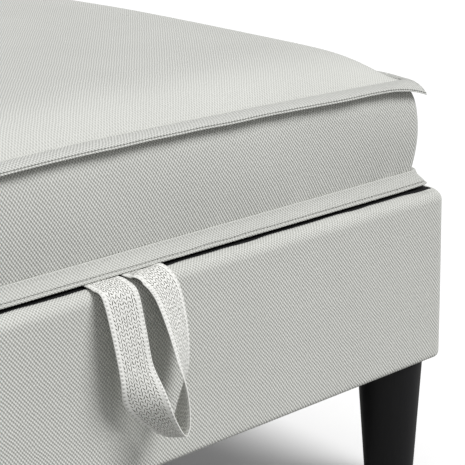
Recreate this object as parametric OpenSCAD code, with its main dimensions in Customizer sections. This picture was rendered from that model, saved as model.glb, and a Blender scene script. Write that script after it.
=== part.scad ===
// Storage ottoman: a padded box on four tapered legs, a lid that is a crowned box cushion with
// flanged seams on a board, hinged along the back, and a folded webbing loop for lifting the lid.
// Millimetres, +Z up, front towards -Y, origin on the floor under the middle of the box.

/* [Overall] */
// Width of the box over its cover, left to right
box_w = 800; // [640:10:1000]
// Depth of the box over its cover, front to back
box_d = 800; // [640:10:1000]
// Height of the box from its underside to its rim
box_h = 174.5; // [150:0.5:260]
// Height of the legs with their glides
leg_h = 140; // [100:5:180]

/* [Box] */
// Thickness of the four side panels
panel_t = 18; // [16:1:22]
// Thickness of the bottom board
floor_t = 12; // [9:1:18]
// Thickness of the padding over the panels
pad_t = 8; // [5:0.5:12]
// Thickness of the woven cover
cover_t = 1.2; // [0.8:0.1:2]
// Thickness of the black lining cloth
lining_t = 0.8; // [0.4:0.1:1.2]
// Rounding of the upright corners and of the rim's outer edge
edge_r = 12; // [8:1:16]
// Rounding of the cover's bottom edge
foot_r = 6; // [3:0.5:8]
// Distance from the box's face to the seam on the rim where the lining begins
rim_seam_in = 11; // [9:0.5:14]
// Width of cover that is turned under the bottom board
turn_under = 46; // [42:1:70]
// Distance from the box's face to the edge of the dust cover
dust_in = 12; // [9:1:16]
// Length of a corner block along each panel
block_l = 75; // [66:1:100]

/* [Legs] */
// Diameter of a leg at its top
leg_top_d = 65; // [50:1:68]
// Diameter of a leg at its foot
leg_foot_d = 47; // [40:1:50]
// Distance from the box's faces to a leg's axis
leg_in = 38; // [37:0.5:42]
// Diameter of the glide under a leg
glide_d = 34; // [20:1:38]
// Thickness of the glide under a leg
glide_t = 3; // [2:0.5:6]
// Diameter of the glide's stem
glide_stem_d = 6; // [4:0.5:8]
// Length of the glide's stem in the leg
glide_stem_l = 15; // [8:1:24]
// Diameter of the hanger bolt
bolt_d = 8; // [6:1:8]
// Length of the hanger bolt inside the leg
bolt_in_leg = 35; // [20:1:50]
// Length of the hanger bolt above the bottom board
bolt_above = 10; // [4:1:20]
// Diameter of the tee nut's flange
tee_flange_d = 19; // [14:0.5:20]
// Thickness of the tee nut's flange
tee_flange_t = 1.5; // [1:0.5:2]
// Diameter of the tee nut's barrel
tee_barrel_d = 10; // [9.5:0.1:11]
// Length of the tee nut's barrel
tee_barrel_l = 8; // [5:0.5:8.5]

/* [Lid] */
// Gap between the rim and the lid's underside
lid_gap = 2.5; // [2.5:0.1:4]
// Thickness of the lid board
lid_board_t = 12; // [9:1:15]
// Distance from the box's faces to the lid board's edge
lid_board_in = 22.5; // [21:0.5:24]
// Rounding of the lid board's upright corners
lid_board_r = 5; // [1:0.5:8]
// Distance from the lid board's edge to the inner edge of the turned hem
hem_w = 48; // [44:1:80]
// Distance from the box's faces to the lid lining's edge
lid_lining_in = 42; // [40:1:48]
// Length of a lid bumper
bumper_l = 30; // [12:1:60]
// Width of a lid bumper
bumper_w = 4.5; // [3:0.5:5]
// Distance from the middle of the lid to a bumper's middle
bumper_at = 290; // [120:5:300]

/* [Cushion] */
// Height of the boxing at the middle of a side
boxing_h = 96; // [70:1:130]
// How much lower the boxing's top seam is at a corner
corner_drop = 7; // [0:0.5:12]
// Height of the crown above the top seam
crown_h = 31; // [10:1:45]
// How much the boxing bulges between its seams
boxing_bulge = 6.5; // [2:0.5:8]
// Distance from the box's faces to the boxing's bottom seam
seam_in = 21.5; // [21:0.5:26]
// Distance from the box's faces to the top flange's stitching
stitch_in = 31; // [28:1:36]
// Distance from the box's faces to the top flange's edge at a corner
flange_in = 14; // [12:0.5:18]
// How much the top flange is drawn in at the middle of a side
side_draw = 4; // [0:0.5:8]
// Thickness of a two-layer flange at its edge
flange_t = 3.2; // [2:0.1:4]
// How much the top flange droops from its stitching to its edge
flange_droop = 2.5; // [1:0.5:8]
// How much further the top flange droops at a corner
ear_droop = 10.5; // [0:0.5:12]
// Distance from the box's faces to the bottom flange's edge
lower_flange_in = 12; // [11:0.5:14]
// How much the bottom flange's corners curl up
ear_curl = 2; // [0:0.5:3]
// Thickness of the cushion's cover
cushion_cover_t = 1.6; // [1:0.1:2.4]

/* [Pull loop] */
// Width of the webbing
strap_w = 35; // [25:1:40]
// Thickness of the webbing
strap_t = 1.6; // [1:0.1:1.8]
// Gap between the two ends of the webbing where they leave the rim
strap_gap = 3; // [1:0.5:10]
// Length of webbing under the lid, measured from the box's face
strap_in = 72; // [60:1:90]
// Distance from the middle of the lid to the middle of the webbing's ends
loop_at = 11.5; // [-20:0.5:20]
// How far the loop hangs below the rim
loop_drop = 129; // [80:1:135]
// How far the loop stands out from the rim at its lowest point
loop_out = 39; // [30:1:70]

/* [Hinges] */
// Width of a butt hinge
hinge_w = 60; // [40:5:80]
// Thickness of a hinge leaf
leaf_t = 1.1; // [0.8:0.05:1.15]
// Outer diameter of a hinge knuckle
knuckle_d = 4.6; // [4.2:0.1:4.8]
// Diameter of a hinge pin
pin_d = 2.4; // [1.8:0.1:2.6]
// Distance from the middle of the lid to the middle of a hinge
hinge_at = 240; // [120:5:260]
// Distance from the box's back face to the hinge axis
hinge_in = 6; // [5.5:0.1:7]
// Reach of the box's leaf from the axis
base_leaf_l = 20; // [18:0.5:22]
// Reach of the lid's leaf from the axis
lid_leaf_l = 46; // [42:1:52]

/* [Fasteners] */
// Diameter of the panel and board screws
screw_d = 4; // [3:0.5:5]
// Length of the panel and board screws
screw_l = 45; // [30:1:60]
// Diameter of the hinge screws
hinge_screw_d = 3; // [2:0.5:3.5]
// Length of the screws in the box's hinge leaves
base_screw_l = 24; // [18:1:30]
// Length of the screws in the lid's hinge leaves
lid_screw_l = 12; // [8:1:13]
// Width of a staple
staple_w = 10; // [6:1:12]
// Thickness of a staple's wire
staple_t = 0.7; // [0.5:0.1:1]
// Length of a staple's legs
staple_l = 8; // [6:0.5:10]
// Spacing of the staples
staple_pitch = 130; // [80:5:200]

/* [Hidden] */
$fn = 64;

// Clearances: radial fit of a fastener in its hole, where a bolt only passes, of a pin in its
// knuckle, and between soft parts
hole_fit = 0.02;
loose_fit = 0.5;
pin_fit = 0.05;
soft_fit = 0.3;
// Overshoot of a cutting solid past the face it cuts
past = 1;

// Heights of the box, from the floor up
z_cover = leg_h + lining_t;
z_board = z_cover + cover_t;
z_panel = z_board + floor_t;
z_rim = leg_h + box_h;
z_pad = z_rim - cover_t;
z_panel_top = z_pad - pad_t;
panel_h = z_panel_top - z_panel;
// Distances inward from the box's faces
in_panel = cover_t + pad_t;
in_wall = in_panel + panel_t;
// Half sizes of the space inside the panels
room_x = box_w / 2 - in_wall;
room_y = box_d / 2 - in_wall;

// Heights of the lid
z_lid = z_rim + lid_gap;
z_hem = z_lid + lining_t;
z_lid_board = z_hem + cover_t;
z_foam = z_lid_board + lid_board_t;
z_seam = z_foam;
z_stitch = z_seam + boxing_h;

// Hinge axis, shared by leaves and pins
hinge_y = box_d / 2 - hinge_in;
hinge_z = (z_rim + z_lid) / 2;
knuckles = 5;
knuckle_l = hinge_w / knuckles;
knuckle_gap = 0.3;
leaf_clear = 0.4;
base_screw_in = 14;
lid_screw_in = 38;

// Pull loop: the line about which it swings, where the webbing leaves the rim
loop_y = -box_d / 2 - 2;
loop_z = z_lid - strap_t / 2;
loop_root = 1.4;
strap_x = (strap_gap + strap_w) / 2;

SIDES = [-1, 1];
fabric_color = [0.72, 0.72, 0.69];
black_cloth = [0.06, 0.06, 0.06];
board_color = [0.78, 0.66, 0.48];
foam_color = [0.93, 0.90, 0.80];
steel_color = [0.70, 0.70, 0.72];

// Profile of a box edge: r wide from the axis, rounded rt at the top and rb at the bottom
module edge_profile(h, r, rt, rb) {
    difference() {
        square([r, h]);
        translate([r - rt, h - rt]) corner_waste(rt);
        translate([r - rb, rb]) mirror([0, 1]) corner_waste(rb);
    }
}

// What a rounding of radius r takes off a square corner
module corner_waste(r) {
    difference() {
        square(r + past);
        circle(r);
    }
}

// Solid box of size w by d from z0 to z1 with upright corners r, top edge rt and bottom edge rb
module rounded_box(w, d, z0, z1, r, rt, rb) {
    h = z1 - z0;
    translate([0, 0, z0]) {
        translate([r - w / 2, r - d / 2, 0]) cube([w - 2 * r, d - 2 * r, h]);
        for (sx = SIDES, sy = SIDES)
            translate([sx * (w / 2 - r), sy * (d / 2 - r), 0]) rotate_extrude() edge_profile(h, r, rt, rb);
        for (a = [0, 180]) rotate(a) {
            translate([w / 2 - r, d / 2 - r, 0]) rotate([90, 0, 0])
                linear_extrude(d - 2 * r) edge_profile(h, r, rt, rb);
            translate([w / 2 - r, d / 2 - r, 0]) rotate([90, 0, 90]) mirror([0, 0, 1])
                linear_extrude(w - 2 * r) edge_profile(h, r, rt, rb);
        }
    }
}

// Plate of the box's outline moved in by an inset, from z0 to z1
module plate(inset, z0, z1) {
    translate([inset - box_w / 2, inset - box_d / 2, z0])
        cube([box_w - 2 * inset, box_d - 2 * inset, z1 - z0]);
}

// Plate like the last, with upright corners of radius r
module soft_plate(inset, r, z0, z1) {
    w = box_w - 2 * inset;
    d = box_d - 2 * inset;
    translate([0, 0, z0]) linear_extrude(z1 - z0) {
        square([w - 2 * r, d], center = true);
        square([w, d - 2 * r], center = true);
        for (sx = SIDES, sy = SIDES) translate([sx * (w / 2 - r), sy * (d / 2 - r)]) circle(r);
    }
}

// Outline of the storage room moved in by t, with its corners cut along the corner blocks
module room_outline(t) {
    x = room_x - t;
    y = room_y - t;
    c = block_l - t * (2 - sqrt(2));
    polygon([[-x + c, -y], [x - c, -y], [x, -y + c], [x, y - c],
        [x - c, y], [-x + c, y], [-x, y - c], [-x, -y + c]]);
}

// Runs its children at the four leg places
module at_legs() {
    for (sx = SIDES, sy = SIDES)
        translate([sx * (box_w / 2 - leg_in), sy * (box_d / 2 - leg_in), 0]) children();
}

// Upright bore of diameter d through z0 to z1 at each leg place
module leg_bores(d, z0, z1) {
    at_legs() translate([0, 0, z0 - past]) cylinder(d = d, h = z1 - z0 + 2 * past);
}

// Countersunk screw with the top of its head at the origin, pointing down; fit widens it to a hole
module screw(d, l, fit = 0) {
    translate([0, 0, -l]) cylinder(d = d + 2 * fit, h = l);
    translate([0, 0, -d / 2]) cylinder(d1 = d + 2 * fit, d2 = 2 * d + 2 * fit, h = d / 2);
}

// Hinge screw: a flat head as thick as the leaf, top at the origin, pointing down
module hinge_screw(l, fit = 0) {
    translate([0, 0, -l]) cylinder(d = hinge_screw_d + 2 * fit, h = l);
    translate([0, 0, -leaf_t])
        cylinder(d1 = hinge_screw_d + 2 * fit, d2 = 2 * hinge_screw_d + 2 * fit, h = leaf_t);
}

// Panel screws lie along Y through the front and back panels into the ends of the side panels
module at_panel_screws() {
    for (sx = SIDES, sy = SIDES, share = [0.15, 0.5, 0.85])
        translate([sx * (room_x + panel_t / 2), sy * (box_d / 2 - in_panel), z_panel + share * panel_h])
            rotate([-90 * sy, 0, 0]) children();
}

// Bottom screws stand through the bottom board into the middle of each panel's lower edge
module at_bottom_screws() {
    for (sx = SIDES, share = [-0.3, 0, 0.3])
        translate([sx * (room_x + panel_t / 2), share * box_d, z_board]) rotate([180, 0, 0]) children();
    for (sy = SIDES, share = [-0.3, 0, 0.3])
        translate([share * box_w, sy * (room_y + panel_t / 2), z_board]) rotate([180, 0, 0]) children();
}

// Places of the staples along a side of the given length
function staple_places(side) = [for (k = [0:20], s = SIDES)
    if ((k + 0.5) * staple_pitch < side / 2 - 70) s * (k + 0.5) * staple_pitch];

// Staple at the origin with its crown's upper face at z = 0 and its legs going up
module staple() {
    translate([-staple_w / 2, -staple_t / 2, -staple_t]) cube([staple_w, staple_t, staple_t]);
    staple_legs(0);
}

// The two legs of a staple; fit widens them to holes
module staple_legs(fit) {
    for (s = SIDES)
        translate([s * (staple_w - staple_t) / 2 - staple_t / 2 - fit, -staple_t / 2 - fit, -fit])
            cube([staple_t + 2 * fit, staple_t + 2 * fit, staple_l + 2 * fit]);
}

// Staples in a row round the box at an inset from its faces, at height z, clear of the back hinges
module at_staples(inset, z, hinges) {
    for (x = staple_places(box_w)) {
        translate([x, inset - box_d / 2, z]) children();
        if (!hinges || abs(abs(x) - hinge_at) > (hinge_w + staple_w) / 2 + 2)
            translate([x, box_d / 2 - inset, z]) children();
    }
    for (sx = SIDES, y = staple_places(box_d))
        translate([sx * (box_w / 2 - inset), y, z]) rotate(90) children();
}
dust_staple_in = 28;
lid_staple_in = 56;

module at_dust_staples() { at_staples(dust_staple_in, leg_h, false) children(); }
module at_lid_staples() { at_staples(lid_staple_in, z_lid, true) children(); }

// Staples through the ends of the pull loop
loop_staple_in = strap_in - 16;
module at_loop_staples() {
    for (s = SIDES, dx = [-0.25, 0.25])
        translate([loop_at + s * strap_x + dx * strap_w, loop_staple_in - box_d / 2, z_lid - strap_t])
            children();
}

// Hinge screws of the box's leaves point down, of the lid's leaves up
module at_base_hinge_screws() {
    for (s = SIDES, dx = [-0.36, 0, 0.36])
        translate([s * hinge_at + dx * hinge_w, hinge_y - base_screw_in, z_rim + leaf_t]) children();
}
module at_lid_hinge_screws() {
    for (s = SIDES, dx = [-0.36, 0, 0.36])
        translate([s * hinge_at + dx * hinge_w, hinge_y - lid_screw_in, z_lid - leaf_t])
            rotate([180, 0, 0]) children();
}

// Front or back panel: full width, with the holes of its screws
module cross_panel(sy) {
    color(board_color) difference() {
        translate([in_panel - box_w / 2, sy > 0 ? room_y : -room_y - panel_t, z_panel])
            cube([box_w - 2 * in_panel, panel_t, panel_h]);
        at_panel_screws() screw(screw_d, screw_l, hole_fit);
        at_bottom_screws() screw(screw_d, screw_l, hole_fit);
        at_base_hinge_screws() hinge_screw(base_screw_l, hole_fit);
    }
}

// Left or right panel: between the front and back panels
module side_panel(sx) {
    color(board_color) difference() {
        translate([sx > 0 ? room_x : -room_x - panel_t, -room_y, z_panel])
            cube([panel_t, 2 * room_y, panel_h]);
        at_panel_screws() screw(screw_d, screw_l, hole_fit);
        at_bottom_screws() screw(screw_d, screw_l, hole_fit);
    }
}

module front_panel() { cross_panel(-1); }
module back_panel() { cross_panel(1); }
module left_panel() { side_panel(-1); }
module right_panel() { side_panel(1); }

module bottom_board() {
    color(board_color) difference() {
        plate(in_panel, z_board, z_panel);
        leg_bores(tee_barrel_d + 2 * hole_fit, z_board, z_panel);
        at_bottom_screws() screw(screw_d, screw_l, hole_fit);
        at_dust_staples() staple_legs(hole_fit);
    }
}

// Three-cornered wood blocks glued in the corners, hollowed over the tee nuts
module corner_blocks() {
    color(board_color) difference() {
        for (sx = SIDES, sy = SIDES)
            translate([sx * room_x, sy * room_y, z_panel])
                linear_extrude(panel_h) polygon([[0, 0], [-sx * block_l, 0], [0, -sy * block_l]]);
        leg_bores(tee_flange_d + 2 * loose_fit, z_panel, z_panel + tee_flange_t - past);
        leg_bores(bolt_d + 2 * loose_fit, z_panel, z_panel + bolt_above);
    }
}

module panel_screws() { color(steel_color) at_panel_screws() screw(screw_d, screw_l); }
module bottom_screws() { color(steel_color) at_bottom_screws() screw(screw_d, screw_l); }

// All the padding in one piece: the rounded block inside the cover, less the panels and the room
module padding_ring() {
    difference() {
        rounded_box(box_w - 2 * cover_t, box_d - 2 * cover_t, z_board, z_pad,
            edge_r - cover_t, edge_r - cover_t, foot_r - cover_t);
        plate(in_panel, z_board - past, z_panel_top);
        plate(in_wall, z_board, z_pad + past);
        at_base_hinge_screws() hinge_screw(base_screw_l, hole_fit);
    }
}

// Front or back padding: the part of the ring in front of or behind the room
module cross_padding(sy) {
    color(foam_color) intersection() {
        padding_ring();
        translate([-box_w / 2, sy > 0 ? room_y : -box_d / 2, 0]) cube([box_w, in_wall, z_rim]);
    }
}

// Left or right padding: the part of the ring beside the room
module side_padding(sx) {
    color(foam_color) intersection() {
        padding_ring();
        translate([sx > 0 ? room_x : -box_w / 2, -room_y, 0]) cube([in_wall, 2 * room_y, z_rim]);
    }
}

module front_padding() { cross_padding(-1); }
module back_padding() { cross_padding(1); }
module left_padding() { side_padding(-1); }
module right_padding() { side_padding(1); }

// Woven cover: up the sides, over the rim to its seam, and turned under the bottom board
module base_cover() {
    color(fabric_color) difference() {
        rounded_box(box_w, box_d, z_cover, z_rim, edge_r, edge_r, foot_r);
        rounded_box(box_w - 2 * cover_t, box_d - 2 * cover_t, z_board, z_pad,
            edge_r - cover_t, edge_r - cover_t, foot_r - cover_t);
        plate(rim_seam_in, z_panel_top, z_rim + past);
        plate(turn_under, z_cover - past, z_board + past);
        leg_bores(bolt_d + 2 * loose_fit, z_cover, z_board);
        at_dust_staples() staple_legs(hole_fit);
    }
}

// Black lining of the storage room: floor, walls, and a turned edge on the rim up to its seam
module storage_lining() {
    color(black_cloth) difference() {
        union() {
            translate([0, 0, z_panel]) linear_extrude(z_pad - z_panel) room_outline(0);
            plate(rim_seam_in, z_pad, z_pad + lining_t);
        }
        translate([0, 0, z_panel + lining_t]) linear_extrude(z_rim - z_panel) room_outline(lining_t);
        at_base_hinge_screws() hinge_screw(base_screw_l, hole_fit);
    }
}

module dust_cover() {
    color(black_cloth) difference() {
        plate(dust_in, leg_h, z_cover);
        leg_bores(bolt_d + 2 * loose_fit, leg_h, z_cover);
        at_dust_staples() staple_legs(hole_fit);
    }
}

module dust_cover_staples() { color(steel_color) at_dust_staples() staple(); }

// Turned leg: a plain taper with a small chamfer at the foot, bored for its bolt and glide stem
module leg(sx, sy) {
    chamfer = 1.5;
    chamfer_d = leg_foot_d - 2 * chamfer;
    translate([sx * (box_w / 2 - leg_in), sy * (box_d / 2 - leg_in), 0])
        color([0.05, 0.05, 0.05]) difference() {
            union() {
                translate([0, 0, glide_t]) cylinder(d1 = chamfer_d, d2 = leg_foot_d, h = chamfer);
                translate([0, 0, glide_t + chamfer])
                    cylinder(d1 = leg_foot_d, d2 = leg_top_d, h = leg_h - glide_t - chamfer);
            }
            translate([0, 0, leg_h - bolt_in_leg])
                cylinder(d = bolt_d + 2 * hole_fit, h = bolt_in_leg + past);
            translate([0, 0, glide_t - past])
                cylinder(d = glide_stem_d + 2 * hole_fit, h = glide_stem_l + past);
        }
}

module leg_front_left() { leg(-1, -1); }
module leg_front_right() { leg(1, -1); }
module leg_back_left() { leg(-1, 1); }
module leg_back_right() { leg(1, 1); }

module leg_glides() {
    color([0.15, 0.15, 0.15]) at_legs() {
        cylinder(d = glide_d, h = glide_t);
        cylinder(d = glide_stem_d, h = glide_t + glide_stem_l);
    }
}

module hanger_bolts() {
    color(steel_color) at_legs() translate([0, 0, leg_h - bolt_in_leg])
        cylinder(d = bolt_d, h = z_panel + bolt_above - leg_h + bolt_in_leg);
}

module tee_nuts() {
    color(steel_color) at_legs() difference() {
        union() {
            translate([0, 0, z_panel]) cylinder(d = tee_flange_d, h = tee_flange_t);
            translate([0, 0, z_panel - tee_barrel_l]) cylinder(d = tee_barrel_d, h = tee_barrel_l);
        }
        translate([0, 0, z_panel - floor_t]) cylinder(d = bolt_d + 2 * hole_fit, h = 2 * floor_t);
    }
}

// Knuckles of one leaf: every second one of five, starting at the given one
module leaf_knuckles(first) {
    for (k = [first:2:knuckles - 1])
        translate([(k - knuckles / 2) * knuckle_l + knuckle_gap / 2, 0, 0]) rotate([0, 90, 0])
            cylinder(d = knuckle_d, h = knuckle_l - knuckle_gap);
}

// Hinge leaf about the axis at the origin: plate from z0 up by leaf_t, reaching back towards -Y
module leaf(first, reach, z0) {
    root = knuckle_d / 2 + leaf_clear;
    joined = 0.01;
    difference() {
        union() {
            leaf_knuckles(first);
            translate([-hinge_w / 2, -reach, z0]) cube([hinge_w, reach - root, leaf_t]);
            for (k = [first:2:knuckles - 1])
                translate([(k - knuckles / 2) * knuckle_l + knuckle_gap / 2, -root - joined, z0])
                    cube([knuckle_l - knuckle_gap, root + joined, leaf_t]);
        }
        translate([-hinge_w / 2 - past, 0, 0]) rotate([0, 90, 0])
            cylinder(d = pin_d + 2 * pin_fit, h = hinge_w + 2 * past);
    }
}

module hinge_base_leaves() {
    color(steel_color) difference() {
        for (s = SIDES) translate([s * hinge_at, hinge_y, hinge_z]) leaf(0, base_leaf_l, z_rim - hinge_z);
        at_base_hinge_screws() hinge_screw(base_screw_l, hole_fit);
    }
}

module hinge_lid_leaves() {
    color(steel_color) difference() {
        for (s = SIDES)
            translate([s * hinge_at, hinge_y, hinge_z]) leaf(1, lid_leaf_l, z_lid - leaf_t - hinge_z);
        at_lid_hinge_screws() hinge_screw(lid_screw_l, hole_fit);
    }
}

module hinge_pins() {
    color(steel_color) for (s = SIDES)
        translate([s * hinge_at - hinge_w / 2, hinge_y, hinge_z]) rotate([0, 90, 0])
            cylinder(d = pin_d, h = hinge_w);
}

module hinge_base_screws() { color(steel_color) at_base_hinge_screws() hinge_screw(base_screw_l); }
module hinge_lid_screws() { color(steel_color) at_lid_hinge_screws() hinge_screw(lid_screw_l); }

module lid_board() {
    color(board_color) difference() {
        soft_plate(lid_board_in, lid_board_r, z_lid_board, z_foam);
        at_lid_hinge_screws() hinge_screw(lid_screw_l, hole_fit);
        at_lid_staples() staple_legs(hole_fit);
        at_loop_staples() staple_legs(hole_fit);
    }
}

// Hem of the cushion's cover, turned under the lid board
module cover_hem() {
    color(fabric_color) difference() {
        soft_plate(lid_board_in, lid_board_r, z_hem, z_lid_board);
        plate(lid_board_in + hem_w, z_hem - past, z_lid_board + past);
        at_lid_hinge_screws() hinge_screw(lid_screw_l, hole_fit);
        at_lid_staples() staple_legs(hole_fit);
        at_loop_staples() staple_legs(hole_fit);
    }
}

module lid_lining() {
    color(black_cloth) difference() {
        plate(lid_lining_in, z_lid, z_hem);
        at_lid_hinge_screws() hinge_screw(lid_screw_l, hole_fit);
        at_lid_staples() staple_legs(hole_fit);
        at_loop_staples() staple_legs(hole_fit);
    }
}

module lid_lining_staples() { color(steel_color) at_lid_staples() staple(); }

// Bumpers on the hem, just above the lined part of the rim
module lid_bumpers() {
    z0 = z_pad + lining_t + soft_fit;
    color([0.1, 0.1, 0.1]) for (sx = SIDES, sy = SIDES)
        translate([sx * bumper_at - bumper_l / 2,
            sy * (box_d / 2 - lid_board_in - bumper_w / 2) - bumper_w / 2, z0])
            cube([bumper_l, bumper_w, z_hem - z0]);
}

// The formed soft parts are lofts: rings of points round the cushion, one above or inside the next.
// Each side has side_n steps, closer towards its corners, and each corner corner_n steps.
side_n = 10;
corner_n = 4;
function side_step(u) = u * (1.5 - 0.5 * abs(u));
side_steps = [for (k = [0:side_n]) side_step(2 * k / side_n - 1)];

// Ring in plan: rectangle of half sizes x and y with corners of radius r, from the front left round
function ring_plan(x, y, r) = concat(
    [for (s = side_steps) [s * (x - r), -y]],
    [for (k = [1:corner_n - 1]) [x - r + r * sin(90 * k / corner_n), r - y - r * cos(90 * k / corner_n)]],
    [for (s = side_steps) [x, s * (y - r)]],
    [for (k = [1:corner_n - 1]) [x - r + r * cos(90 * k / corner_n), y - r + r * sin(90 * k / corner_n)]],
    [for (s = side_steps) [-s * (x - r), y]],
    [for (k = [1:corner_n - 1]) [r - x - r * sin(90 * k / corner_n), y - r + r * cos(90 * k / corner_n)]],
    [for (s = side_steps) [-x, -s * (y - r)]],
    [for (k = [1:corner_n - 1]) [r - x - r * cos(90 * k / corner_n), r - y - r * sin(90 * k / corner_n)]]);

// How near a point is to a corner: 0 at the middle of a side, 1 at a corner
function cornerness(p) = min(abs(p[0]) / (box_w / 2 - flange_in), abs(p[1]) / (box_d / 2 - flange_in));
// The last stretch towards a corner, where the ears are
function earness(p) = pow(max(0, cornerness(p) - 0.86) / 0.14, 2);
// Height of the top stitching at a point, lower towards the corners
function stitch_z(p) = z_stitch - corner_drop * pow(cornerness(p), 1.5);

// Ring moved in by an inset, drawn in further by draw at the middle of its sides, height from z(p)
function ring_xy(inset, r, draw) = [for (p = ring_plan(box_w / 2 - inset, box_d / 2 - inset, r))
    let (k = 1 - pow(cornerness(p), 2), x = box_w / 2 - inset, y = box_d / 2 - inset)
    [abs(p[0]) > x - 0.01 ? p[0] - sign(p[0]) * draw * k : p[0],
     abs(p[1]) > y - 0.01 ? p[1] - sign(p[1]) * draw * k : p[1]]];

// Triangles of a loft through rings of n points each; closed joins the last ring to the first
module loft(rings, closed) {
    n = len(rings[0]);
    m = len(rings);
    last = closed ? m : m - 1;
    middle = function (ring) [for (axis = [0:2]) [for (p = ring) p[axis]] * [for (p = ring) 1] / n];
    points = concat([for (ring = rings) each ring], closed ? [] : [middle(rings[0]), middle(rings[m - 1])]);
    walls = [for (j = [0:last - 1], i = [0:n - 1])
        let (a = j * n + i, b = j * n + (i + 1) % n, c = ((j + 1) % m) * n + (i + 1) % n,
             d = ((j + 1) % m) * n + i)
        each [[a, d, c], [a, c, b]]];
    caps = closed ? [] : [for (i = [0:n - 1]) each [[m * n, i, (i + 1) % n],
        [m * n + 1, (m - 1) * n + (i + 1) % n, (m - 1) * n + i]]];
    polyhedron(points, concat(walls, caps));
}

// Boxing: inset of its outer face at share t of its height, in at the seams and out between them
boxing_top_in = stitch_in - 0.5;
function boxing_inset(t) = seam_in + (boxing_top_in - seam_in) * pow(t, 8)
    - boxing_bulge * sin(180 * pow(t, 0.9));
boxing_top = 6;
boxing_r = 12;

// Ring of the boxing at share t, moved in by a further depth
function boxing_ring(t, depth) = [for (p = ring_xy(boxing_inset(t) + depth, boxing_r, side_draw * t))
    [p[0], p[1], z_seam + t * (stitch_z(p) - flange_t - soft_fit - z_seam)]];

module cover_boxing() {
    color(fabric_color) loft(concat(
        [for (j = [0:boxing_top]) boxing_ring(j / boxing_top, 0)],
        [for (j = [boxing_top:-1:0]) boxing_ring(j / boxing_top, cushion_cover_t)]), true);
}

// Crowned top: highest in the middle and steep near the stitching
crown_power = 16;
function crown_z(x, y) =
    let (u = min(1, abs(x) / (box_w / 2 - stitch_in)), v = min(1, abs(y) / (box_d / 2 - stitch_in)))
    z_stitch - corner_drop * pow(u * v, 1.5)
    + crown_h * (1 - pow(u, crown_power)) * (1 - pow(v, crown_power));

// Ring of the crown at share q of its width, lowered by a depth
crown_rings = 8;
function crown_share(j) = 1 - pow(j / (crown_rings + 1), 2.2);
function crown_ring(q, depth) =
    [for (p = ring_xy(stitch_in, 6, side_draw)) [q * p[0], q * p[1], crown_z(q * p[0], q * p[1]) - depth]];

module cover_top_panel() {
    color(fabric_color) loft(concat(
        [for (j = [crown_rings:-1:0]) crown_ring(crown_share(j), cushion_cover_t)],
        [for (j = [0:crown_rings]) crown_ring(crown_share(j), 0)]), false);
}

// Foam: fills the cover with a little play at its sides, and more under the crown and its stitching
module cushion_foam() {
    side_depth = cushion_cover_t + 0.2;
    crown_depth = cushion_cover_t + 1.6;
    shoulder = [for (p = boxing_ring(1, side_depth)) [p[0], p[1], p[2] - 2]];
    color(foam_color) loft(concat(
        [for (j = [0:boxing_top - 1]) boxing_ring(j / boxing_top, side_depth)], [shoulder],
        [for (j = [1:crown_rings]) crown_ring(crown_share(j), crown_depth)]), false);
}

// One ring of the top flange: share p of the way from the stitching to the edge, lowered by a depth
function flange_ring(share, depth) =
    [for (p = ring_xy(stitch_in + share * (flange_in - stitch_in), 6 - 3 * share, side_draw))
        [p[0], p[1], stitch_z(p) - share * share * (flange_droop + ear_droop * earness(p)) - depth]];

module top_flange() {
    color(fabric_color) loft([flange_ring(0.02, 0), flange_ring(0.02, flange_t), flange_ring(0.5, flange_t),
        flange_ring(0.95, flange_t), flange_ring(1, flange_t / 2), flange_ring(0.95, 0),
        flange_ring(0.5, 0)], true);
}

// One ring of the bottom flange at an inset and height; the corners curl up towards the edge
lower_play = 0.2;
function lower_ring(inset, z, curl) =
    [for (p = ring_xy(inset, lid_board_r + lower_play, 0)) [p[0], p[1], z + curl * ear_curl * earness(p)]];

module bottom_flange() {
    edge = lower_flange_in;
    inner = lid_board_in - lower_play;
    color(fabric_color) loft([lower_ring(inner, z_seam - 0.1, 0), lower_ring(inner, z_hem, 0),
        lower_ring(edge + 1, z_lid, 1), lower_ring(edge, z_lid + 1.2, 1),
        lower_ring(edge + 0.4, z_lid + 3, 1),
        lower_ring((edge + seam_in) / 2 - 1, (z_lid + z_seam) / 2 + 3, 0.5),
        lower_ring(seam_in + 0.2, z_seam - 0.1, 0)], true);
}

// Ends of the webbing, stapled under the lid and passing out over the rim, up to where it swings
module loop_ends() {
    front = loop_y + loop_root;
    color(fabric_color) difference() {
        for (s = SIDES) translate([loop_at + s * strap_x - strap_w / 2, front, z_lid - strap_t])
            cube([strap_w, strap_in - box_d / 2 - front, strap_t]);
        at_loop_staples() staple_legs(hole_fit);
    }
}

module loop_staples() { color(steel_color) at_loop_staples() staple(); }

// Pull loop: the webbing's middle line from its left end, down round the lowest point and up to its
// right end. Each row is the place sideways as a share of strap_x, the share of loop_out, the share
// of loop_drop, the turn of the webbing's width about the upright, and its tilt, in degrees.
loop_rows = [[-1, 0, 0, 0, 0], [-1, 0.05, 0.001, 0, 0], [-1, 0.13, 0.012, 2, -2], [-0.98, 0.28, 0.075, 4, -6],
    [-0.91, 0.42, 0.29, 0, -3], [-0.89, 0.55, 0.54, 4, -2], [-0.63, 0.64, 0.72, 36, 6], [-0.16, 0.8, 0.88, 80, 24],
    [0.47, 0.95, 0.99, 103, 21], [0.86, 0.94, 0.94, 105, 6], [1.29, 0.82, 0.77, 120, -2], [1.68, 0.61, 0.58, 142, 0],
    [1.79, 0.39, 0.34, 156, 0], [1.5, 0.25, 0.1, 168, 1], [1.04, 0.13, 0.01, 178, 0], [1, 0.05, 0.001, 180, 0],
    [1, 0, 0, 180, 0]];
loop_last = len(loop_rows) - 1;
loop_steps = 4;

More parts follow.
